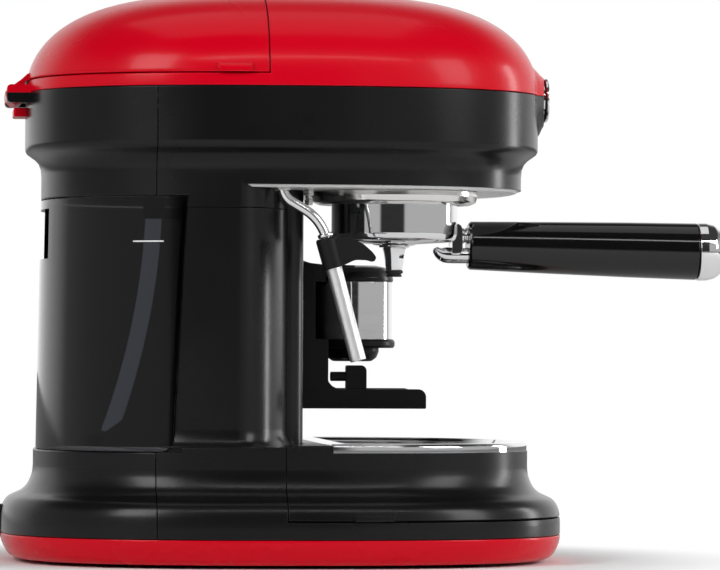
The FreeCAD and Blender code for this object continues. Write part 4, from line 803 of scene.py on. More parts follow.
def build_neck():
    """Threaded stud and the hook that hangs under the cup."""
    x, y = GROUP
    stud = lathed([(0.0, 0.0), (4.4, 0.0, 0.4), (4.4, 1.5, 0.2), (3.9, 1.7, 0.2), (3.9, 2.5, 0.2),
                   (4.6, 2.7, 0.3), (4.6, 3.9), (0.0, 3.9)], count=48)
    stud = laid(stud, (x, -98.1, 184.0), (0, -1, 0))
    hook = curved([(-102.0, 172.9), (-95.0, 172.9), (-90.0, 173.1), (-86.6, 174.0), (-84.6, 175.6),
                   (-83.6, 177.2)], 5)
    rings = []
    for i, (along, up) in enumerate(hook):
        a, b = hook[max(0, i - 1)], hook[min(len(hook) - 1, i + 1)]
        way = Vector((b[0] - a[0], b[1] - a[1])).normalized()
        share = i / (len(hook) - 1)
        half = (4.5 - 3.2 * max(0.0, share - 0.45) / 0.55, 5.4 - 1.4 * share)
        ring = []
        for step in range(20):
            turn = 2.0 * math.pi * step / 20
            off, side = half[0] * math.sin(turn), half[1] * math.cos(turn)
            ring.append(Vector((x + side, along - way[1] * off, up + way[0] * off)))
        rings.append(ring)
    hook = less(capped(rings), drum(x, y, 35.9, 178.3, 210.0, 96),
                block((x - 9.0, x + 9.0), (-98.3, -80.0), (178.2, 191.0)))
    piece("neck", merged(stud, hook), "chrome", "portafilter", ["portafilter_neck"], sharp=34.0)


def build_handle():
    x = GROUP[0]
    root, tip, reach = 178.5, 175.9, 130.0
    way = Vector((0.0, -1.0, (tip - root) / reach)).normalized()
    grip = lathed([(0.0, 0.0), (12.2, 0.0, 0.6), (13.5, 1.3, 1.2), (14.6, 45.0, 60.0), (15.5, 90.0, 60.0),
                   (16.0, 129.4, 0.4), (15.4, reach, 0.3), (0.0, reach)], count=112, steps=5)
    piece("handle", laid(grip, (x, -102.0, root), way), "handle_black", "portafilter",
          ["portafilter_handle"], sharp=42.0)
    cap = lathed([(0.0, 0.0), (15.6, 0.0), (16.3, 0.6, 0.3), (16.3, 5.2, 3.0), (15.2, 9.8, 5.0),
                  (12.4, 13.6, 4.0), (8.4, 15.6, 2.4), (7.2, 16.0, 0.6), (0.0, 16.0)], count=112, steps=6)
    piece("handle_end", laid(cap, (x, -102.0 - reach, tip), (0, -1, 0)), "chrome", "portafilter",
          ["handle_cap"], sharp=50.0)


# ---- grinder outlet --------------------------------------------------------------------------
OUTLET = (50.0, -46.0)
SEAT_LOW, SLEEVE_LOW, SLEEVE_TOP = 120.8, 125.8, 159.0
FORK_LOW, FORK_TOP, FORK_HALF, FORK_GAP = 86.0, 97.2, 44.0, 36.2
LEVER_X, LEVER_Z = 9.8, 104.4


def build_outlet():
    x, y = OUTLET
    duct = prism([(PANEL_Y, 157.6), (PANEL_Y, 172.8, 0.5), (-14.0, 171.8, 8.0), (-20.0, 169.8, 10.0),
                  (-28.0, 168.9, 10.0), (y, 168.6), (y, SLEEVE_TOP), (-23.0, SLEEVE_TOP)], x - 17.0, x + 17.0)
    cap = lathed([(0.0, SLEEVE_TOP), (23.2, SLEEVE_TOP, 0.4), (23.8, 159.8, 0.5), (23.8, 161.6, 2.0),
                  (22.4, 164.8, 3.0), (19.6, 167.4, 3.0), (14.0, 168.6, 6.0), (0.0, 168.6)], x, y, count=96)
    hood = less(plus(duct, cap), block((x - 10.0, x + 10.0), (y, 0.0), (161.6, 166.0)),
                drum(x, y, 10.0, 150.0, 166.0))
    piece("hood", hood, "black_gloss", "machine", ["outlet_hood"], edge=0.5)
    tube = lathed([(21.2, SLEEVE_LOW), (23.2, SLEEVE_LOW), (23.2, SLEEVE_TOP), (21.2, SLEEVE_TOP)], x, y,
                  True, 112)
    piece("outlet_sleeve", tube, "chrome", "machine", ["outlet_cylinder"])
    disc = lathed([(12.0, SEAT_LOW), (24.0, SEAT_LOW, 0.8), (24.9, 122.2, 0.8), (24.9, 124.4, 0.8),
                   (24.0, SLEEVE_LOW, 0.6), (12.0, SLEEVE_LOW)], x, y, True, 96)
    bridge = block((x - 17.0, x + 17.0), (-30.0, PANEL_Y), (SEAT_LOW, SLEEVE_LOW))
    back = prism([(PANEL_Y, FORK_TOP), (PANEL_Y, 168.0), (-21.0, 168.0, 4.0), (-21.0, FORK_TOP)],
                 x - FORK_HALF, x + FORK_HALF)
    plate = block((x - FORK_HALF, x + FORK_HALF), (-28.5, PANEL_Y), (SEAT_LOW, SLEEVE_LOW))
    cheeks = []
    for sign in (-1.0, 1.0):
        near, far = sorted((x + sign * FORK_GAP, x + sign * FORK_HALF))
        cheeks.append(prism([(PANEL_Y, FORK_TOP), (PANEL_Y, 121.8), (-28.5, 121.8), (-28.5, 101.5, 2.5),
                             (-30.7, 99.0, 2.5), (-34.0, FORK_TOP)], near, far))
    frame_body = plus(back, plate, bridge, disc, *cheeks)
    way_in = laid(drum(0, 0, 3.0, 0.0, 7.5), (LEVER_X, -29.6, LEVER_Z), (0, 1, 0))
    duct = prism([(-8.0, 157.0), (-8.0, 173.4), (-23.0, 173.4), (-23.0, 157.0)], x - 17.2, x + 17.2)
    piece("outlet_frame_front", less(frame_body, way_in, duct, drum(x, y, 12.0, 100.0, 130.0)),
          "black_plastic", "machine", ["outlet_frame"], edge=0.5)
    mouth = lathed([(9.0, SEAT_LOW), (15.6, SEAT_LOW), (15.6, 118.6, 3.0), (14.2, 115.2, 3.0),
                    (11.4, 113.2, 1.6), (9.0, 113.0, 0.4)], x, y, True, 72)
    piece("mouth", mouth, "black_plastic", "machine", ["outlet_mouth"])


def build_fork():
    x = OUTLET[0]
    plate = prism([(-84.9, FORK_LOW, 0.8), (-84.9, FORK_TOP, 4.5), (PANEL_Y, FORK_TOP), (PANEL_Y, FORK_LOW)],
                  x - FORK_HALF, x + FORK_HALF, "X", 6)
    mouth = -50.4
    arc = [(x + FORK_GAP * math.cos(math.pi * i / 32), mouth + FORK_GAP * math.sin(math.pi * i / 32))
           for i in range(1, 32)]
    way = prism([(x - FORK_GAP, -90.0), (x + FORK_GAP, -90.0), (x + FORK_GAP, mouth)] + arc
                + [(x - FORK_GAP, mouth)], 80.0, 100.0, "Z")
    guide = block((LEVER_X - 1.5, LEVER_X + 1.5), (-50.7, -34.2), (93.0, 99.0))
    piece("fork_arms", less(plate, way, guide), "black_plastic", "machine", ["fork"],
          edge=0.6)
    post = prism([(-50.6, 97.3, 0.4), (-50.6, 110.8, 3.2), (-38.8, 110.8, 1.0), (-38.8, 97.3, 0.4)],
                 6.6, 13.0, "X", 6)
    tongue = block((8.4, 11.2), (-50.6, -38.8), (93.2, 98.0))
    pin = laid(lathed([(0.0, 0.0), (2.7, 0.0), (2.7, 8.9, 0.7), (0.0, 8.9)], count=40),
               (LEVER_X, -38.8, LEVER_Z), (0, 1, 0))
    piece("lever", plus(post, tongue, pin), "black_plastic", "lever", ["grind_lever"],
          edge=0.4)


# ---- steam wand ------------------------------------------------------------------------------
WAND_X, WAND_Y = -106.0, 6.7
WAND_TOP = Vector((WAND_X, -17.0, 182.0))
WAND_WAY = Vector((0.0, -math.sin(math.radians(15.0)), -math.cos(math.radians(15.0))))


def bent_route():
    """Centre line of the steam pipe: upright, bowed out, then along the leaning axis."""
    corners = [(6.7, 217.0), (6.7, 203.7), (-14.55, 191.1), (WAND_TOP + WAND_WAY * 16.0)[1:]]
    route = []
    for i, radius in ((1, 9.5), (2, 26.0)):
        before, here, after = (Vector(corners[k][:2]) for k in (i - 1, i, i + 1))
        into, out = (here - before), (after - here)
        turn = into.angle(out)
        reach = min(radius * math.tan(turn / 2.0), 0.45 * min(into.length, out.length))
        size = reach / math.tan(turn / 2.0)
        into.normalize()
        out.normalize()
        centre = here + (out - into).normalized() * (size / math.cos(turn / 2.0))
        first, last = here - into * reach - centre, here + out * reach - centre
        for step in range(13):
            angle = turn * step / 12.0
            share = (math.sin(turn - angle) / math.sin(turn), math.sin(angle) / math.sin(turn))
            route.append(centre + first * share[0] + last * share[1])
    return [Vector(corners[0][:2])] + route + [Vector(corners[3][:2])]


def build_wand():
    route = bent_route()
    rings = []
    radius = 2.8
    for i, here in enumerate(route):
        way = (route[min(i + 1, len(route) - 1)] - route[max(i - 1, 0)]).normalized()
        rings.append([Vector((WAND_X + radius * math.cos(t), here[0] - way[1] * radius * math.sin(t),
                              here[1] + way[0] * radius * math.sin(t)))
                      for t in (2.0 * math.pi * k / 32 for k in range(32))])
    piece("wand_tube", capped(rings), "chrome", "wand", ["wand_pipe"], sharp=60.0)
    ring = lathed([(2.86, -1.6), (3.8, -1.6, 0.5), (4.3, -1.0, 0.6), (4.3, 0.2, 0.6), (3.8, 0.8, 0.5),
                   (2.86, 0.8)], wrap=True, count=48)
    piece("wand_ring", laid(ring, WAND_TOP, WAND_WAY), "chrome", "wand", ["wand_collar"])
    sleeve = lathed([(2.9, 6.0), (4.4, 6.0), (4.4, 70.8, 0.7), (3.4, 70.8, 0.3), (3.4, 17.0), (2.9, 17.0)],
                    wrap=True, count=56)
    piece("wand_outer", laid(sleeve, WAND_TOP, WAND_WAY), "satin_steel", "wand", ["wand_sleeve"])

    barrel = lathed([(2.86, 0.9), (5.2, 0.9, 0.6), (6.0, 2.0, 0.8), (5.8, 17.6, 0.6), (5.3, 18.2, 0.4),
                     (4.45, 18.2), (4.45, 6.0), (2.86, 6.0)], wrap=True, count=56)
    barrel = laid(barrel, WAND_TOP, WAND_WAY)
    leaf = prism([(-20.4, 181.2, 0.8), (-17.6, 165.2, 0.4), (-27.0, 166.0, 2.0), (-33.3, 169.1, 9.0),
                  (-39.9, 168.9, 5.0), (-43.6, 167.8, 1.6), (-44.9, 170.4, 1.6), (-42.7, 173.4, 8.0),
                  (-37.7, 177.8, 12.0), (-30.6, 181.4, 8.0)], WAND_X - 3.0, WAND_X + 3.0, "X", 5)
    inside = lathed([(0.0, -8.0), (5.2, -8.0), (5.2, 26.0), (0.0, 26.0)], count=48)
    leaf = less(leaf, laid(inside, WAND_TOP, WAND_WAY))
    piece("wand_handle", plus(barrel, leaf), "matte_black", "wand", ["wand_grip"], edge=0.9,
          sharp=34.0)
    nut = lathed([(2.9, 209.4), (3.9, 207.0), (4.2, 207.0, 0.2), (4.6, 207.6, 0.3), (4.6, 214.4),
                  (2.9, 214.4)], WAND_X, WAND_Y, True, 48)
    piece("wand_gland", nut, "steel", "machine", ["wand_nut"])
    fitting = lathed([(0.0, 199.6), (2.2, 199.6, 0.3), (2.6, 200.2, 0.3), (2.6, 202.6), (2.0, 202.6),
                      (2.0, 205.0), (3.0, 205.0, 0.3), (3.0, 208.6), (0.0, 208.6)], -84.0, -9.4, count=6)
    piece("small_fitting", fitting, "steel", "machine", ["steam_fitting"], edge=0.2, sharp=25.0)


# ---- column, panel and tank ------------------------------------------------------------------
STEP = [(HEAD_HALF, 234.0, 0.9), (145.2, 231.9), (144.3, 230.4), (142.4, 229.0), (139.8, 227.2),
        (137.6, 224.8), (136.4, 221.6), (NECK_HALF, 217.5)]
COLUMN_FOOT = [(3.6, 66.0), (2.2, 67.6), (1.1, 69.6), (0.3, 72.4), (0.0, 76.0)]     # (growth, height)


def within(x, y, half_x, half_y):
    return abs(x / half_x) ** POWER + abs(y / half_y) ** POWER <= 1.0


def column_ring(grow, z, rear):
    """Column's plan at a height: neck outline behind, one broad curve in front, straight at the rear."""
    half = NECK_HALF + grow
    corner = math.atan2(rear - BOW_Y, RATIO * half * (1.0 - (rear / half) ** POWER) ** (1.0 / POWER))
    angles = [corner + (math.pi - 2.0 * corner) * i / 24 for i in range(25)]
    around = 150
    angles += [math.pi - corner + (math.pi + 2.0 * corner) * i / around for i in range(1, around)]
    ring = []
    for angle in angles:
        c, s = math.cos(angle), math.sin(angle)
        near, far = 0.0, 200.0
        for _ in range(32):
            r = (near + far) / 2.0
            x, y = r * c, BOW_Y + r * s
            inside = (y <= rear + 0.0001 and within(x, y, RATIO * half, half)
                      and (y >= BOW_Y or within(x, y - BOW_Y, 118.4 + grow, 43.0 + grow)))
            near, far = (r, far) if inside else (near, r)
        ring.append(Vector((near * c, BOW_Y + near * s, z)))
    return ring


def column_solid(levels, inset=0.0, rear=SEAM_Y):
    """Column between (growth, height) levels."""
    rings = [column_ring(g - inset, z, rear) for g, z in levels]
    return skin([[Vector((0, BOW_Y, levels[0][1]))]] + rings + [[Vector((0, BOW_Y, levels[-1][1]))]])


def tank_solid(inset=0.0):
    """Tank's outer form, or its inside when inset by the wall."""
    foot, top = 63.4, 212.5
    sides = housing([(0.0, 62.4), (138.6 - inset, 62.4), (NECK_HALF - inset, top), (0.0, top)])
    slope = 7.9 / 139.6
    low = 67.2 + inset
    high = low - slope * (top - foot)
    face = prism([(low, foot + inset, 7.0), (high, top), (180.0, top), (180.0, foot + inset)],
                 -140.0, 140.0, "X", 6)
    return shared(sides, face)


def chute():
    """Way of the ground coffee through the column and the panel."""
    return block((39.0, 61.0), (-30.0, 12.0), (161.0, 171.0))


def build_column():
    body = column_solid(COLUMN_FOOT + [(0.0, 197.0)])
    heel = column_solid([(0.0, LEDGE), (0.0, 70.0)])
    body = plus(body, shared(heel, block((-150, 150), (62.0, 80.0), (60.0, 75.0))))
    hollow = less(column_solid([(0.0, 69.0), (0.0, 203.0)], 3.0), tank_solid(-3.5))
    piece("column", less(body, tank_solid(-0.5), hollow, chute()), "black_gloss", "machine",
          ["column_shell"])


def panel_block(grow, low, high):
    front, corner = PANEL_Y - grow, 11.0 + grow
    return prism([(-70.0 - grow, front, corner), (96.0 + grow, front, corner), (96.0 + grow, 32.0),
                  (-70.0 - grow, 32.0)], low, high, "Z", 10)


def build_panel():
    solid = panel_block(0.0, BASE_TOP, 208.6)
    column = column_solid([(3.6, 65.0)] + COLUMN_FOOT + [(0.0, 215.0)])
    piece("panel", less(solid, column, panel_block(-3.0, 69.0, 205.6), chute()), "black_gloss",
          "machine", ["splash_panel"])


def build_tank():
    body = shared(tank_solid(), block((-150, 150), (0.0, 180.0), (60.0, 203.0)))
    recess = prism([(126.0, 170.0, 3.0), (126.0, 198.0, 3.0), (150.0, 198.0), (150.0, 170.0)], -42.0, 42.0)
    wall_zone = block((-44.4, 44.4), (123.6, 150.0), (167.6, 200.4))
    inner = less(tank_solid(2.4), wall_zone)
    bump = prism([(104.0, 64.4), (104.0, 72.4, 1.5), (112.0, 72.4, 1.5), (112.0, 64.4)], -74.0, -66.0)
    piece("tank", plus(less(body, recess, inner), bump), "smoke_plastic", "tank",
          ["water_tank"], edge=0.4)
    line = housing([(136.35, 178.2), (136.9, 178.2), (136.85, 179.0), (136.3, 179.0)], True)
    line = shared(line, block((-150.0, 0.0), (72.2, 88.7), (175.0, 185.0)))
    piece("level_line", line, "level_white", "tank")


# ---- head, cover and lid ---------------------------------------------------------------------
def dome(inset=0.0, low=DOME_LOW, count=30):
    """Profile of the dome from a height up to the crown, as (half-length, height)."""
    profile = []
    for step in range(count + 1):
        share = math.cos(math.pi / 2.0 * step / count) ** 0.45 if step < count else 0.0
        rise = (1.0 - share ** DOME_PLAN) ** (1.0 / DOME_CROWN)
        profile.append(((HEAD_HALF - inset) * share, DOME_LOW + (DOME_RISE - inset) * rise))
    fine = [point for point in profile if point[1] > low + 0.6]
    rise = max(0.0, (low - DOME_LOW) / (DOME_RISE - inset))
    return [((HEAD_HALF - inset) * (1.0 - rise ** DOME_CROWN) ** (1.0 / DOME_PLAN), low)] + fine


def under_dome(inset):
    """Solid that fills the dome up to a distance below its surface."""
    return housing([(0.0, 255.0)] + dome(inset)[:-1] + [(0.0, DOME_TOP - inset)])


def shell(low, corner):
    """Domed shell down to a height, with a rounded outer foot."""
    outer, inner = dome(0.0, low), dome(2.6, low)
    half = outer[0][0]
    return housing(inner[::-1] + [(half, low, corner), (half, low + 1.6)] + outer[1:], steps=5)


def shell_between(outer_inset, inner_inset):
    return housing(dome(inner_inset, 266.0)[::-1] + dome(outer_inset, 266.0))


def trumpet(low, high):
    """Drawn-out front of the head and cover, between two heights."""
    rings = []
    for y, bottom, top, half in (
            (-151.0, 249.0, 273.4, 35.6), (-149.4, 248.6, 273.6, 36.0), (-148.8, 247.9, 273.9, 36.6),
            (-148.0, 247.0, 274.4, 37.4), (-147.2, 245.8, 275.0, 38.4), (-146.6, 244.8, 275.6, 39.4),
            (-146.0, 243.5, 276.1, 40.5), (-145.2, 241.8, 276.8, 42.0), (-143.8, 240.0, 278.1, 44.4),
            (-142.0, 238.4, 279.8, 47.0), (-140.2, 237.3, 281.6, 50.0), (-138.0, 236.4, 283.8, 53.0),
            (-132.0, 235.4, 288.0, 58.0)):
        rings.append(stadium(half, (top - bottom) / 2.0, y, (top + bottom) / 2.0))
    plan = housing([(0.0, 230.0), (148.7, 230.0), (148.7, 292.0), (0.0, 292.0)])
    return shared(capped(rings), plan, block((-150, 150), (-180, -134), (low, high)))


def stadium(half_x, half_z, y, z, count=24):
    """Round-ended ring across the front."""
    ring = []
    for side, start in ((1.0, -90.0), (-1.0, 90.0)):
        for step in range(count + 1):
            turn = math.radians(start + 180.0 * step / count)
            ring.append(Vector((side * (half_x - half_z) + half_z * math.cos(turn), y,
                                z + half_z * math.sin(turn))))
    return ring


def window():
    """Way for the buttons through the head and the cover."""
    return skin([[Vector((0, -165, KEYS_Z))], stadium(33.0, 9.5, -165, KEYS_Z),
                 stadium(33.0, 9.5, -128, KEYS_Z), [Vector((0, -128, KEYS_Z))]])


def hinge_lug(side, cut):
    """Hinge lug less the heights that belong to the other moulding."""
    near, far = sorted((side * 22.0, side * 34.0))
    lug = prism([(136.0, 257.7), (136.0, 267.9), (HINGE_Y, 267.9, 5.1), (156.6, 267.9, 5.1),
                 (156.6, 257.7, 5.1), (HINGE_Y, 257.7, 5.1)], near, far, "X", 8)
    inside = housing([(0.0, 240.0), (144.3, 240.0), (144.3, 280.0), (0.0, 280.0)])
    return less(lug, inside, block((-60, 60), (100, 170), cut))


def build_head():
    wall = STEP[::-1]
    outer = ([(0.0, HEAD_LOW), (NECK_HALF, HEAD_LOW, 0.8)] + wall
             + [(HEAD_HALF, HEAD_TOP, 0.4), (0.0, HEAD_TOP)])
    inner = ([(0.0, 213.0), (133.0, 213.0)] + [(p[0] - 3.0, p[1]) for p in wall]
             + [(142.3, 266.0), (0.0, 266.0)])
    body = ahead(housing(outer), SEAM_Y - seam() / 2.0)
    floor_way = ahead(housing([(0.0, 205.0), (133.0, 205.0), (133.0, 214.0), (0.0, 214.0)]), BOW_Y)
    body = less(body, block((-160, 160), (-180, BOW_Y), (190, 210.0)), housing(inner), floor_way)
    skirt = less(column_solid([(0.0, 197.5), (0.0, 213.0)]), tank_solid(-0.5),
                 column_solid([(0.0, 190.0), (0.0, 220.0)], 3.0, 73.0))
    body = plus(body, skirt, less(trumpet(230.0, HEAD_TOP), housing(inner)))
    piece("head_ahead", less(body, window()), "black_gloss", "machine", ["head_front"])
    body = behind(housing(outer), SEAM_Y + seam() / 2.0)
    room = housing([(0.0, 206.6), (133.0, 206.6)] + inner[2:])
    body = plus(less(body, room), *(hinge_lug(side, (HEAD_TOP, 290.0)) for side in (-1.0, 1.0)))
    piece("head_behind", body, "black_gloss", "machine", ["head_rear"])


def build_plate():
    """Plate that closes the head from below."""
    outer = housing([(0.0, 208.6), (133.0, 208.6, 0.6), (134.4, 209.8), (134.4, 210.0), (0.0, 210.0)])
    outer = ahead(outer, BOW_Y)
    holes = (drum(GROUP[0], GROUP[1], 46.7, 200.0, 220.0, 96), drum(WAND_X, WAND_Y, 4.7, 200.0, 220.0))
    piece("underside", less(outer, column_solid([(0.0, 200.0), (0.0, 215.0)]), *holes), "grey_plastic",
          "machine", ["head_plate"])


def build_cover():
    foot = 263.7
    front = ahead(shell(foot, 0.5), 15.0)
    band = behind(housing([(142.9, foot), (145.25, foot, 0.4), (HEAD_HALF, 266.0), (144.9, 270.4, 0.8),
                           (142.3, 270.4)], True), 14.0)
    wall = shared(under_dome(2.4), block((-150, 150), (8.0, 10.4), (266.0, DOME_TOP)))
    lip = behind(ahead(shell_between(3.0, 5.0), 21.0), 10.0)
    lugs = [hinge_lug(side, (230.0, HEAD_TOP)) for side in (-1.0, 1.0)]
    nose = less(trumpet(263.6, 292.0), under_dome(2.6))
    body = plus(front, band, nose, *lugs)
    piece("cover", less(body, window()), "red_gloss", "machine", ["top_cover"], sharp=30.0)
    piece("cover_wall", wall, "red_gloss", "machine")
    piece("cover_lip", lip, "red_gloss", "machine")


def build_lid():
    foot = 271.0
    body = behind(shell(foot, 0.9), 15.8)
    arm = prism([(157.1, HINGE_Z, 2.0), (156.0, 265.8, 2.0), (152.4, 268.4, 4.0), (148.2, 271.4, 4.0),
                 (145.0, 274.4, 1.0), (142.0, 275.4), (143.0, 271.0), (146.2, 270.8, 2.0), (146.2, HINGE_Z)],
                -21.5, 21.5, "X", 5)
    barrel = laid(drum(0, 0, 5.6, 0.0, 43.0), (-21.5, HINGE_Y, HINGE_Z), (1, 0, 0))
    arm = less(plus(barrel, arm), under_dome(2.4))
    tabs = []
    for side in (-1.0, 1.0):
        reach = housing([(140.0, foot), (148.1, foot, 0.7), (147.7, 274.2, 1.4), (145.4, 275.9, 1.0),
                         (140.0, 275.9)], True)
        edge = [(100.0, 23.6), (118.0, 23.6), (140.0, 27.6), (140.0, 40.4), (118.0, 44.4), (100.0, 44.4)]
        wedge = prism([(side * x, y) for x, y in edge], 260.0, 280.0, "Z")
        tabs.append(shared(reach, wedge))
    piece("lid_shell", plus(body, arm, *tabs), "red_gloss", "lid", ["lid"], sharp=30.0)


# ---- controls --------------------------------------------------------------------------------
def build_bezel():
    section = [(5.2, -134.0), (3.2, -134.0), (3.2, -148.0), (0.3, -148.6, 0.3), (0.0, -149.6, 0.4),
               (0.5, -150.2, 0.3), (1.5, -150.4, 0.4), (2.9, -150.3, 0.6), (3.8, -149.5, 0.3), (3.8, -145.8),
               (5.2, -145.8)]
    rings = [stadium(36.0 - inset, 12.5 - inset, y, KEYS_Z) for inset, y in drawn(section, True, 3)]
    piece("trim_ring", skin(rings, True), "chrome", "machine", ["bezel"])
    ends = [[Vector((0, y, KEYS_Z))] for y in (-149.0, -145.8)]
    plate = skin([ends[0], stadium(31.6, 8.1, -149.0, KEYS_Z), stadium(32.1, 8.6, -148.5, KEYS_Z),
                  stadium(32.1, 8.6, -145.8, KEYS_Z), ends[1]])
    holes = [laid(drum(0, 0, 5.7, 0.0, 20.0), (x, -140.0, KEYS_Z), (0, -1, 0))
             for x in (-24.0, -8.0, 8.0, 24.0)]
    piece("key_plate", less(plate, *holes), "black_gloss", "machine", ["button_plate"])


def build_keys():
    for body in ("power", "one_cup", "two_cups", "steam"):
        name = "button_" + body
        low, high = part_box(name)
        x, z = (low[0] + high[0]) / 2.0 / MM, (low[2] + high[2]) / 2.0 / MM
        key = lathed([(0.0, 0.0), (3.0, 0.05), (4.4, 0.3, 2.0), (5.1, 0.8, 0.8), (5.4, 1.5, 0.8), (5.4, 8.0),
                      (6.6, 8.0), (6.6, 9.2), (3.0, 9.2), (3.0, 12.0), (0.0, 12.0)], count=48)
        piece("key_" + body, laid(key, (x, low[1] / MM, z), (0, 1, 0)), "chrome", body, [name])


def build_feet():
    for n, (x, y) in enumerate(FEET):
        foot = lathed([(0.0, 2.6), (3.4, 2.6), (3.4, 0.0, 0.3), (7.6, 0.0, 0.6), (8.8, 1.4, 0.8), (8.8, 5.0),
                       (0.0, 5.0)], x, y)
        piece("foot_%d" % (n + 1), foot, "rubber", "machine", ["feet"] if n == 0 else [])


# ---- stage ---------------------------------------------------------------------------------
def lamp(name, place_at, target, wide, high, power):
    light = bpy.data.lights.new(name, "AREA")
    light.shape = "RECTANGLE"
    light.size, light.size_y, light.energy = wide, high, power
    thing = bpy.data.objects.new(name, light)
    bpy.context.scene.collection.objects.link(thing)
    thing.location = place_at
    thing.rotation_euler = (Vector(target) - thing.location).to_track_quat("-Z", "Y").to_euler()


def studio_world():
    """White for the camera, a plain soft room for light, and a studio with dark flags for gloss."""
    world = bpy.data.worlds.new("studio")
    bpy.context.scene.world = world
    world.use_nodes = True
    tree = world.node_tree
    tree.nodes.clear()
    out = tree.nodes.new("ShaderNodeOutputWorld")
    path = tree.nodes.new("ShaderNodeLightPath")
    way = tree.nodes.new("ShaderNodeTexCoord").outputs["Generated"]
    split = tree.nodes.new("ShaderNodeSeparateXYZ")
    tree.links.new(way, split.inputs[0])
    away = maths(tree, "ARCTAN2", maths(tree, "MULTIPLY", split.outputs["Y"], -1.0),
                 maths(tree, "MULTIPLY", split.outputs["X"], -1.0))
    right = ranged(tree, away, 0.16, 0.28, 0.0, 1.0)
    left = ranged(tree, away, -0.60, -0.48, 1.0, 0.0)
    sides = maths(tree, "MULTIPLY", maths(tree, "MAXIMUM", right, left), 0.46)
    behind = ranged(tree, split.outputs["X"], 0.25, 0.75, 0.03, 1.0)
    above = ranged(tree, split.outputs["Z"], 0.35, 0.70, 1.0, 0.10)
    level = maths(tree, "MULTIPLY", maths(tree, "MAXIMUM", sides, behind), above)
    room, white = (tree.nodes.new("ShaderNodeBackground") for _ in range(2))
    for node in (room, white):
        node.inputs["Color"].default_value = (1.0, 1.0, 1.0, 1.0)
        node.inputs["Strength"].default_value = 1.0
    tree.links.new(level, room.inputs["Strength"])
    clear = maths(tree, "MAXIMUM", path.outputs["Is Camera Ray"], path.outputs["Is Transmission Ray"])
    last = tree.nodes.new("ShaderNodeMixShader")
    tree.links.new(clear, last.inputs[0])
    tree.links.new(room.outputs[0], last.inputs[1])
    tree.links.new(white.outputs[0], last.inputs[2])
    tree.links.new(last.outputs[0], out.inputs[0])


def floor():
    """Pale worktop that keeps the shadow near the machine and turns white further out."""
    mesh = bpy.data.meshes.new("floor")
    mesh.from_pydata([(-30, -30, 0), (30, -30, 0), (30, 30, 0), (-30, 30, 0)], [], [(0, 1, 2, 3)])
    thing = bpy.data.objects.new("floor", mesh)
    bpy.context.scene.collection.objects.link(thing)
    tree, shader = blank("floor")
    shader.inputs["Base Color"].default_value = colours().floor
    shader.inputs["Roughness"].default_value = 0.9
    shader.inputs["Specular IOR Level"].default_value = 0.0
    out = next(n for n in tree.nodes if n.type == "OUTPUT_MATERIAL")
    far = ranged(tree, vector_maths(tree, "LENGTH", spot(tree)), 0.17, 0.30, 0.0, 1.0)
    glow = tree.nodes.new("ShaderNodeEmission")
    path = tree.nodes.new("ShaderNodeLightPath")
    seen = maths(tree, "MAXIMUM", path.outputs["Is Camera Ray"], path.outputs["Is Transmission Ray"])
    mix = tree.nodes.new("ShaderNodeMixShader")
    tree.links.new(maths(tree, "MULTIPLY", far, seen), mix.inputs[0])
    tree.links.new(shader.outputs[0], mix.inputs[1])
    tree.links.new(glow.outputs[0], mix.inputs[2])
    tree.links.new(mix.outputs[0], out.inputs[0])
    mesh.materials.append(finish("floor"))


def camera():
    """Eye level with the tray, a little behind square to the machine's left side."""
    data = bpy.data.cameras.new("camera")
    data.lens, data.sensor_width = 245.0, 36.0
    data.clip_end = 100.0
    thing = bpy.data.objects.new("camera", data)
    bpy.context.scene.collection.objects.link(thing)
    turn, pitch, roll = math.radians(5.3), math.radians(0.786), math.radians(0.25)
    thing.location = (-2.788, 0.2127, 0.1183)
    ahead = Vector((math.cos(turn) * math.cos(pitch), -math.sin(turn) * math.cos(pitch), math.sin(pitch)))
    look = ahead.to_track_quat("-Z", "Y").to_matrix()
    thing.rotation_euler = (look @ Matrix.Rotation(roll, 3, "Z")).to_euler()
    bpy.context.scene.camera = thing


# ---- operators -----------------------------------------------------------------------------
class ESPRESSO_OT_finishes(bpy.types.Operator):
    """Build the finishes and dress the nodes that are carried over from the frame"""

    bl_idname = "espresso.finishes"
    bl_label = "Finishes"

    def execute(self, context):
        build_finishes()
        dress_carried_nodes()
        return {"FINISHED"}


class ESPRESSO_OT_base(bpy.types.Operator):
    """Build the red pan, the black base, its drip tray and grid, and the feet"""

    bl_idname = "espresso.base"
    bl_label = "Base and tray"

    def execute(self, context):
        build_pan()
        build_base()
        build_tray()
        build_grid()
        build_feet()
        return {"FINISHED"}


class ESPRESSO_OT_column(bpy.types.Operator):
    """Build the column with its splash panel"""

    bl_idname = "espresso.column"
    bl_label = "Column"

    def execute(self, context):
        build_column()
        build_panel()
        return {"FINISHED"}


class ESPRESSO_OT_tank(bpy.types.Operator):
    """Build the smoky water tank"""

    bl_idname = "espresso.tank"
    bl_label = "Water tank"

    def execute(self, context):
        build_tank()
        return {"FINISHED"}


class ESPRESSO_OT_head(bpy.types.Operator):
    """Build the black head and the plate under it"""

    bl_idname = "espresso.head"
    bl_label = "Head"

    def execute(self, context):
        build_head()
        build_plate()
        return {"FINISHED"}


class ESPRESSO_OT_cover(bpy.types.Operator):
    """Build the red cover and its hinged lid"""

    bl_idname = "espresso.cover"
    bl_label = "Cover and lid"

    def execute(self, context):
        build_cover()
        build_lid()
        return {"FINISHED"}


class ESPRESSO_OT_controls(bpy.types.Operator):
    """Build the chrome ring, its plate and the four push buttons"""

    bl_idname = "espresso.controls"
    bl_label = "Controls"

    def execute(self, context):
        build_bezel()
        build_keys()
        return {"FINISHED"}


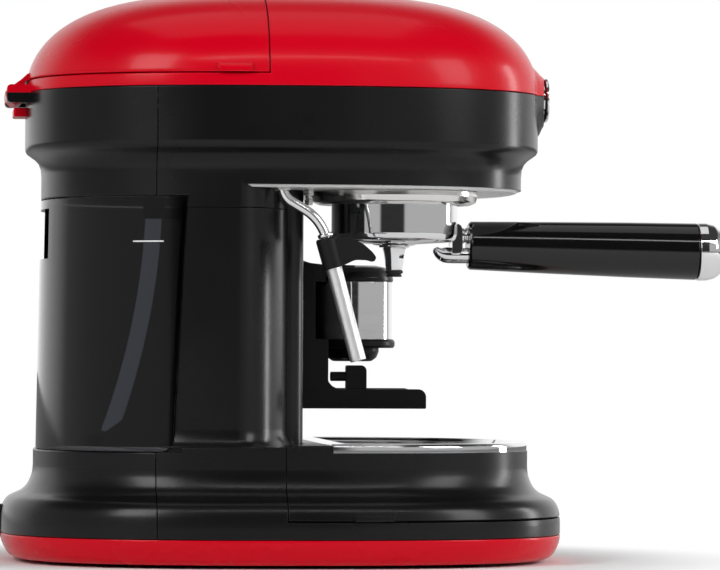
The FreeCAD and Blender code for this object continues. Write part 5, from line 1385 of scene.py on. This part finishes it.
class ESPRESSO_OT_brewing(bpy.types.Operator):
    """Build the group's collar and the portafilter with its handle"""

    bl_idname = "espresso.brewing"
    bl_label = "Group and portafilter"

    def execute(self, context):
        build_group()
        build_cup()
        build_spout()
        build_neck()
        build_handle()
        return {"FINISHED"}


class ESPRESSO_OT_outlet(bpy.types.Operator):
    """Build the grinder's outlet with its fork and lever"""

    bl_idname = "espresso.outlet"
    bl_label = "Grinder outlet"

    def execute(self, context):
        build_outlet()
        build_fork()
        return {"FINISHED"}


class ESPRESSO_OT_wand(bpy.types.Operator):
    """Build the steam wand and its fittings"""

    bl_idname = "espresso.wand"
    bl_label = "Steam wand"

    def execute(self, context):
        build_wand()
        return {"FINISHED"}


class ESPRESSO_OT_stage(bpy.types.Operator):
    """Set out the floor, the light and the camera"""

    bl_idname = "espresso.stage"
    bl_label = "Stage"

    def execute(self, context):
        studio_world()
        floor()
        lamp("lamp_left", (-1.7, 1.5, 1.4), (0, 0, 0.15), 0.9, 1.3, 27.0)
        lamp("lamp_right", (-1.3, -2.0, 1.2), (0, 0, 0.15), 0.9, 1.3, 23.0)
        lamp("lamp_top", (0.2, 0.0, 2.2), (0, 0, 0.2), 1.6, 1.6, 6.0)
        lamp("strip_right", (0.6, -1.9, 0.35), (0, 0, 0.20), 0.3, 1.4, 13.0)
        lamp("strip_above", (-2.0, -0.3, 1.85), (0, -0.1, 0.20), 2.2, 0.16, 8.0)
        camera()
        context.scene.view_settings.view_transform = "Standard"
        return {"FINISHED"}


STEPS = (ESPRESSO_OT_finishes, ESPRESSO_OT_base, ESPRESSO_OT_column, ESPRESSO_OT_tank, ESPRESSO_OT_head,
         ESPRESSO_OT_cover, ESPRESSO_OT_controls, ESPRESSO_OT_brewing, ESPRESSO_OT_outlet, ESPRESSO_OT_wand,
         ESPRESSO_OT_stage)


class ESPRESSO_PT_pieces(bpy.types.Panel):
    """Steps that build the machine, with its sizes and colours"""

    bl_idname = "ESPRESSO_PT_pieces"
    bl_label = "Espresso machine"
    bl_space_type = "VIEW_3D"
    bl_region_type = "UI"
    bl_category = "Espresso"

    def draw(self, context):
        layout = self.layout
        for step in STEPS:
            layout.operator(step.bl_idname)
        for group in (context.scene.espresso_sizes, context.scene.espresso_colours):
            box = layout.box()
            for name in group.__annotations__:
                box.prop(group, name)


CLASSES = (EspressoColours, EspressoSizes) + STEPS + (ESPRESSO_PT_pieces,)


def register():
    for each in CLASSES:
        bpy.utils.register_class(each)
    bpy.types.Scene.espresso_colours = bpy.props.PointerProperty(type=EspressoColours)
    bpy.types.Scene.espresso_sizes = bpy.props.PointerProperty(type=EspressoSizes)


def unregister():
    del bpy.types.Scene.espresso_sizes
    del bpy.types.Scene.espresso_colours
    for each in reversed(CLASSES):
        bpy.utils.unregister_class(each)


def main():
    register()
    for step in STEPS:
        family, action = step.bl_idname.split(".")
        getattr(getattr(bpy.ops, family), action)()


if __name__ == "__main__":
    main()
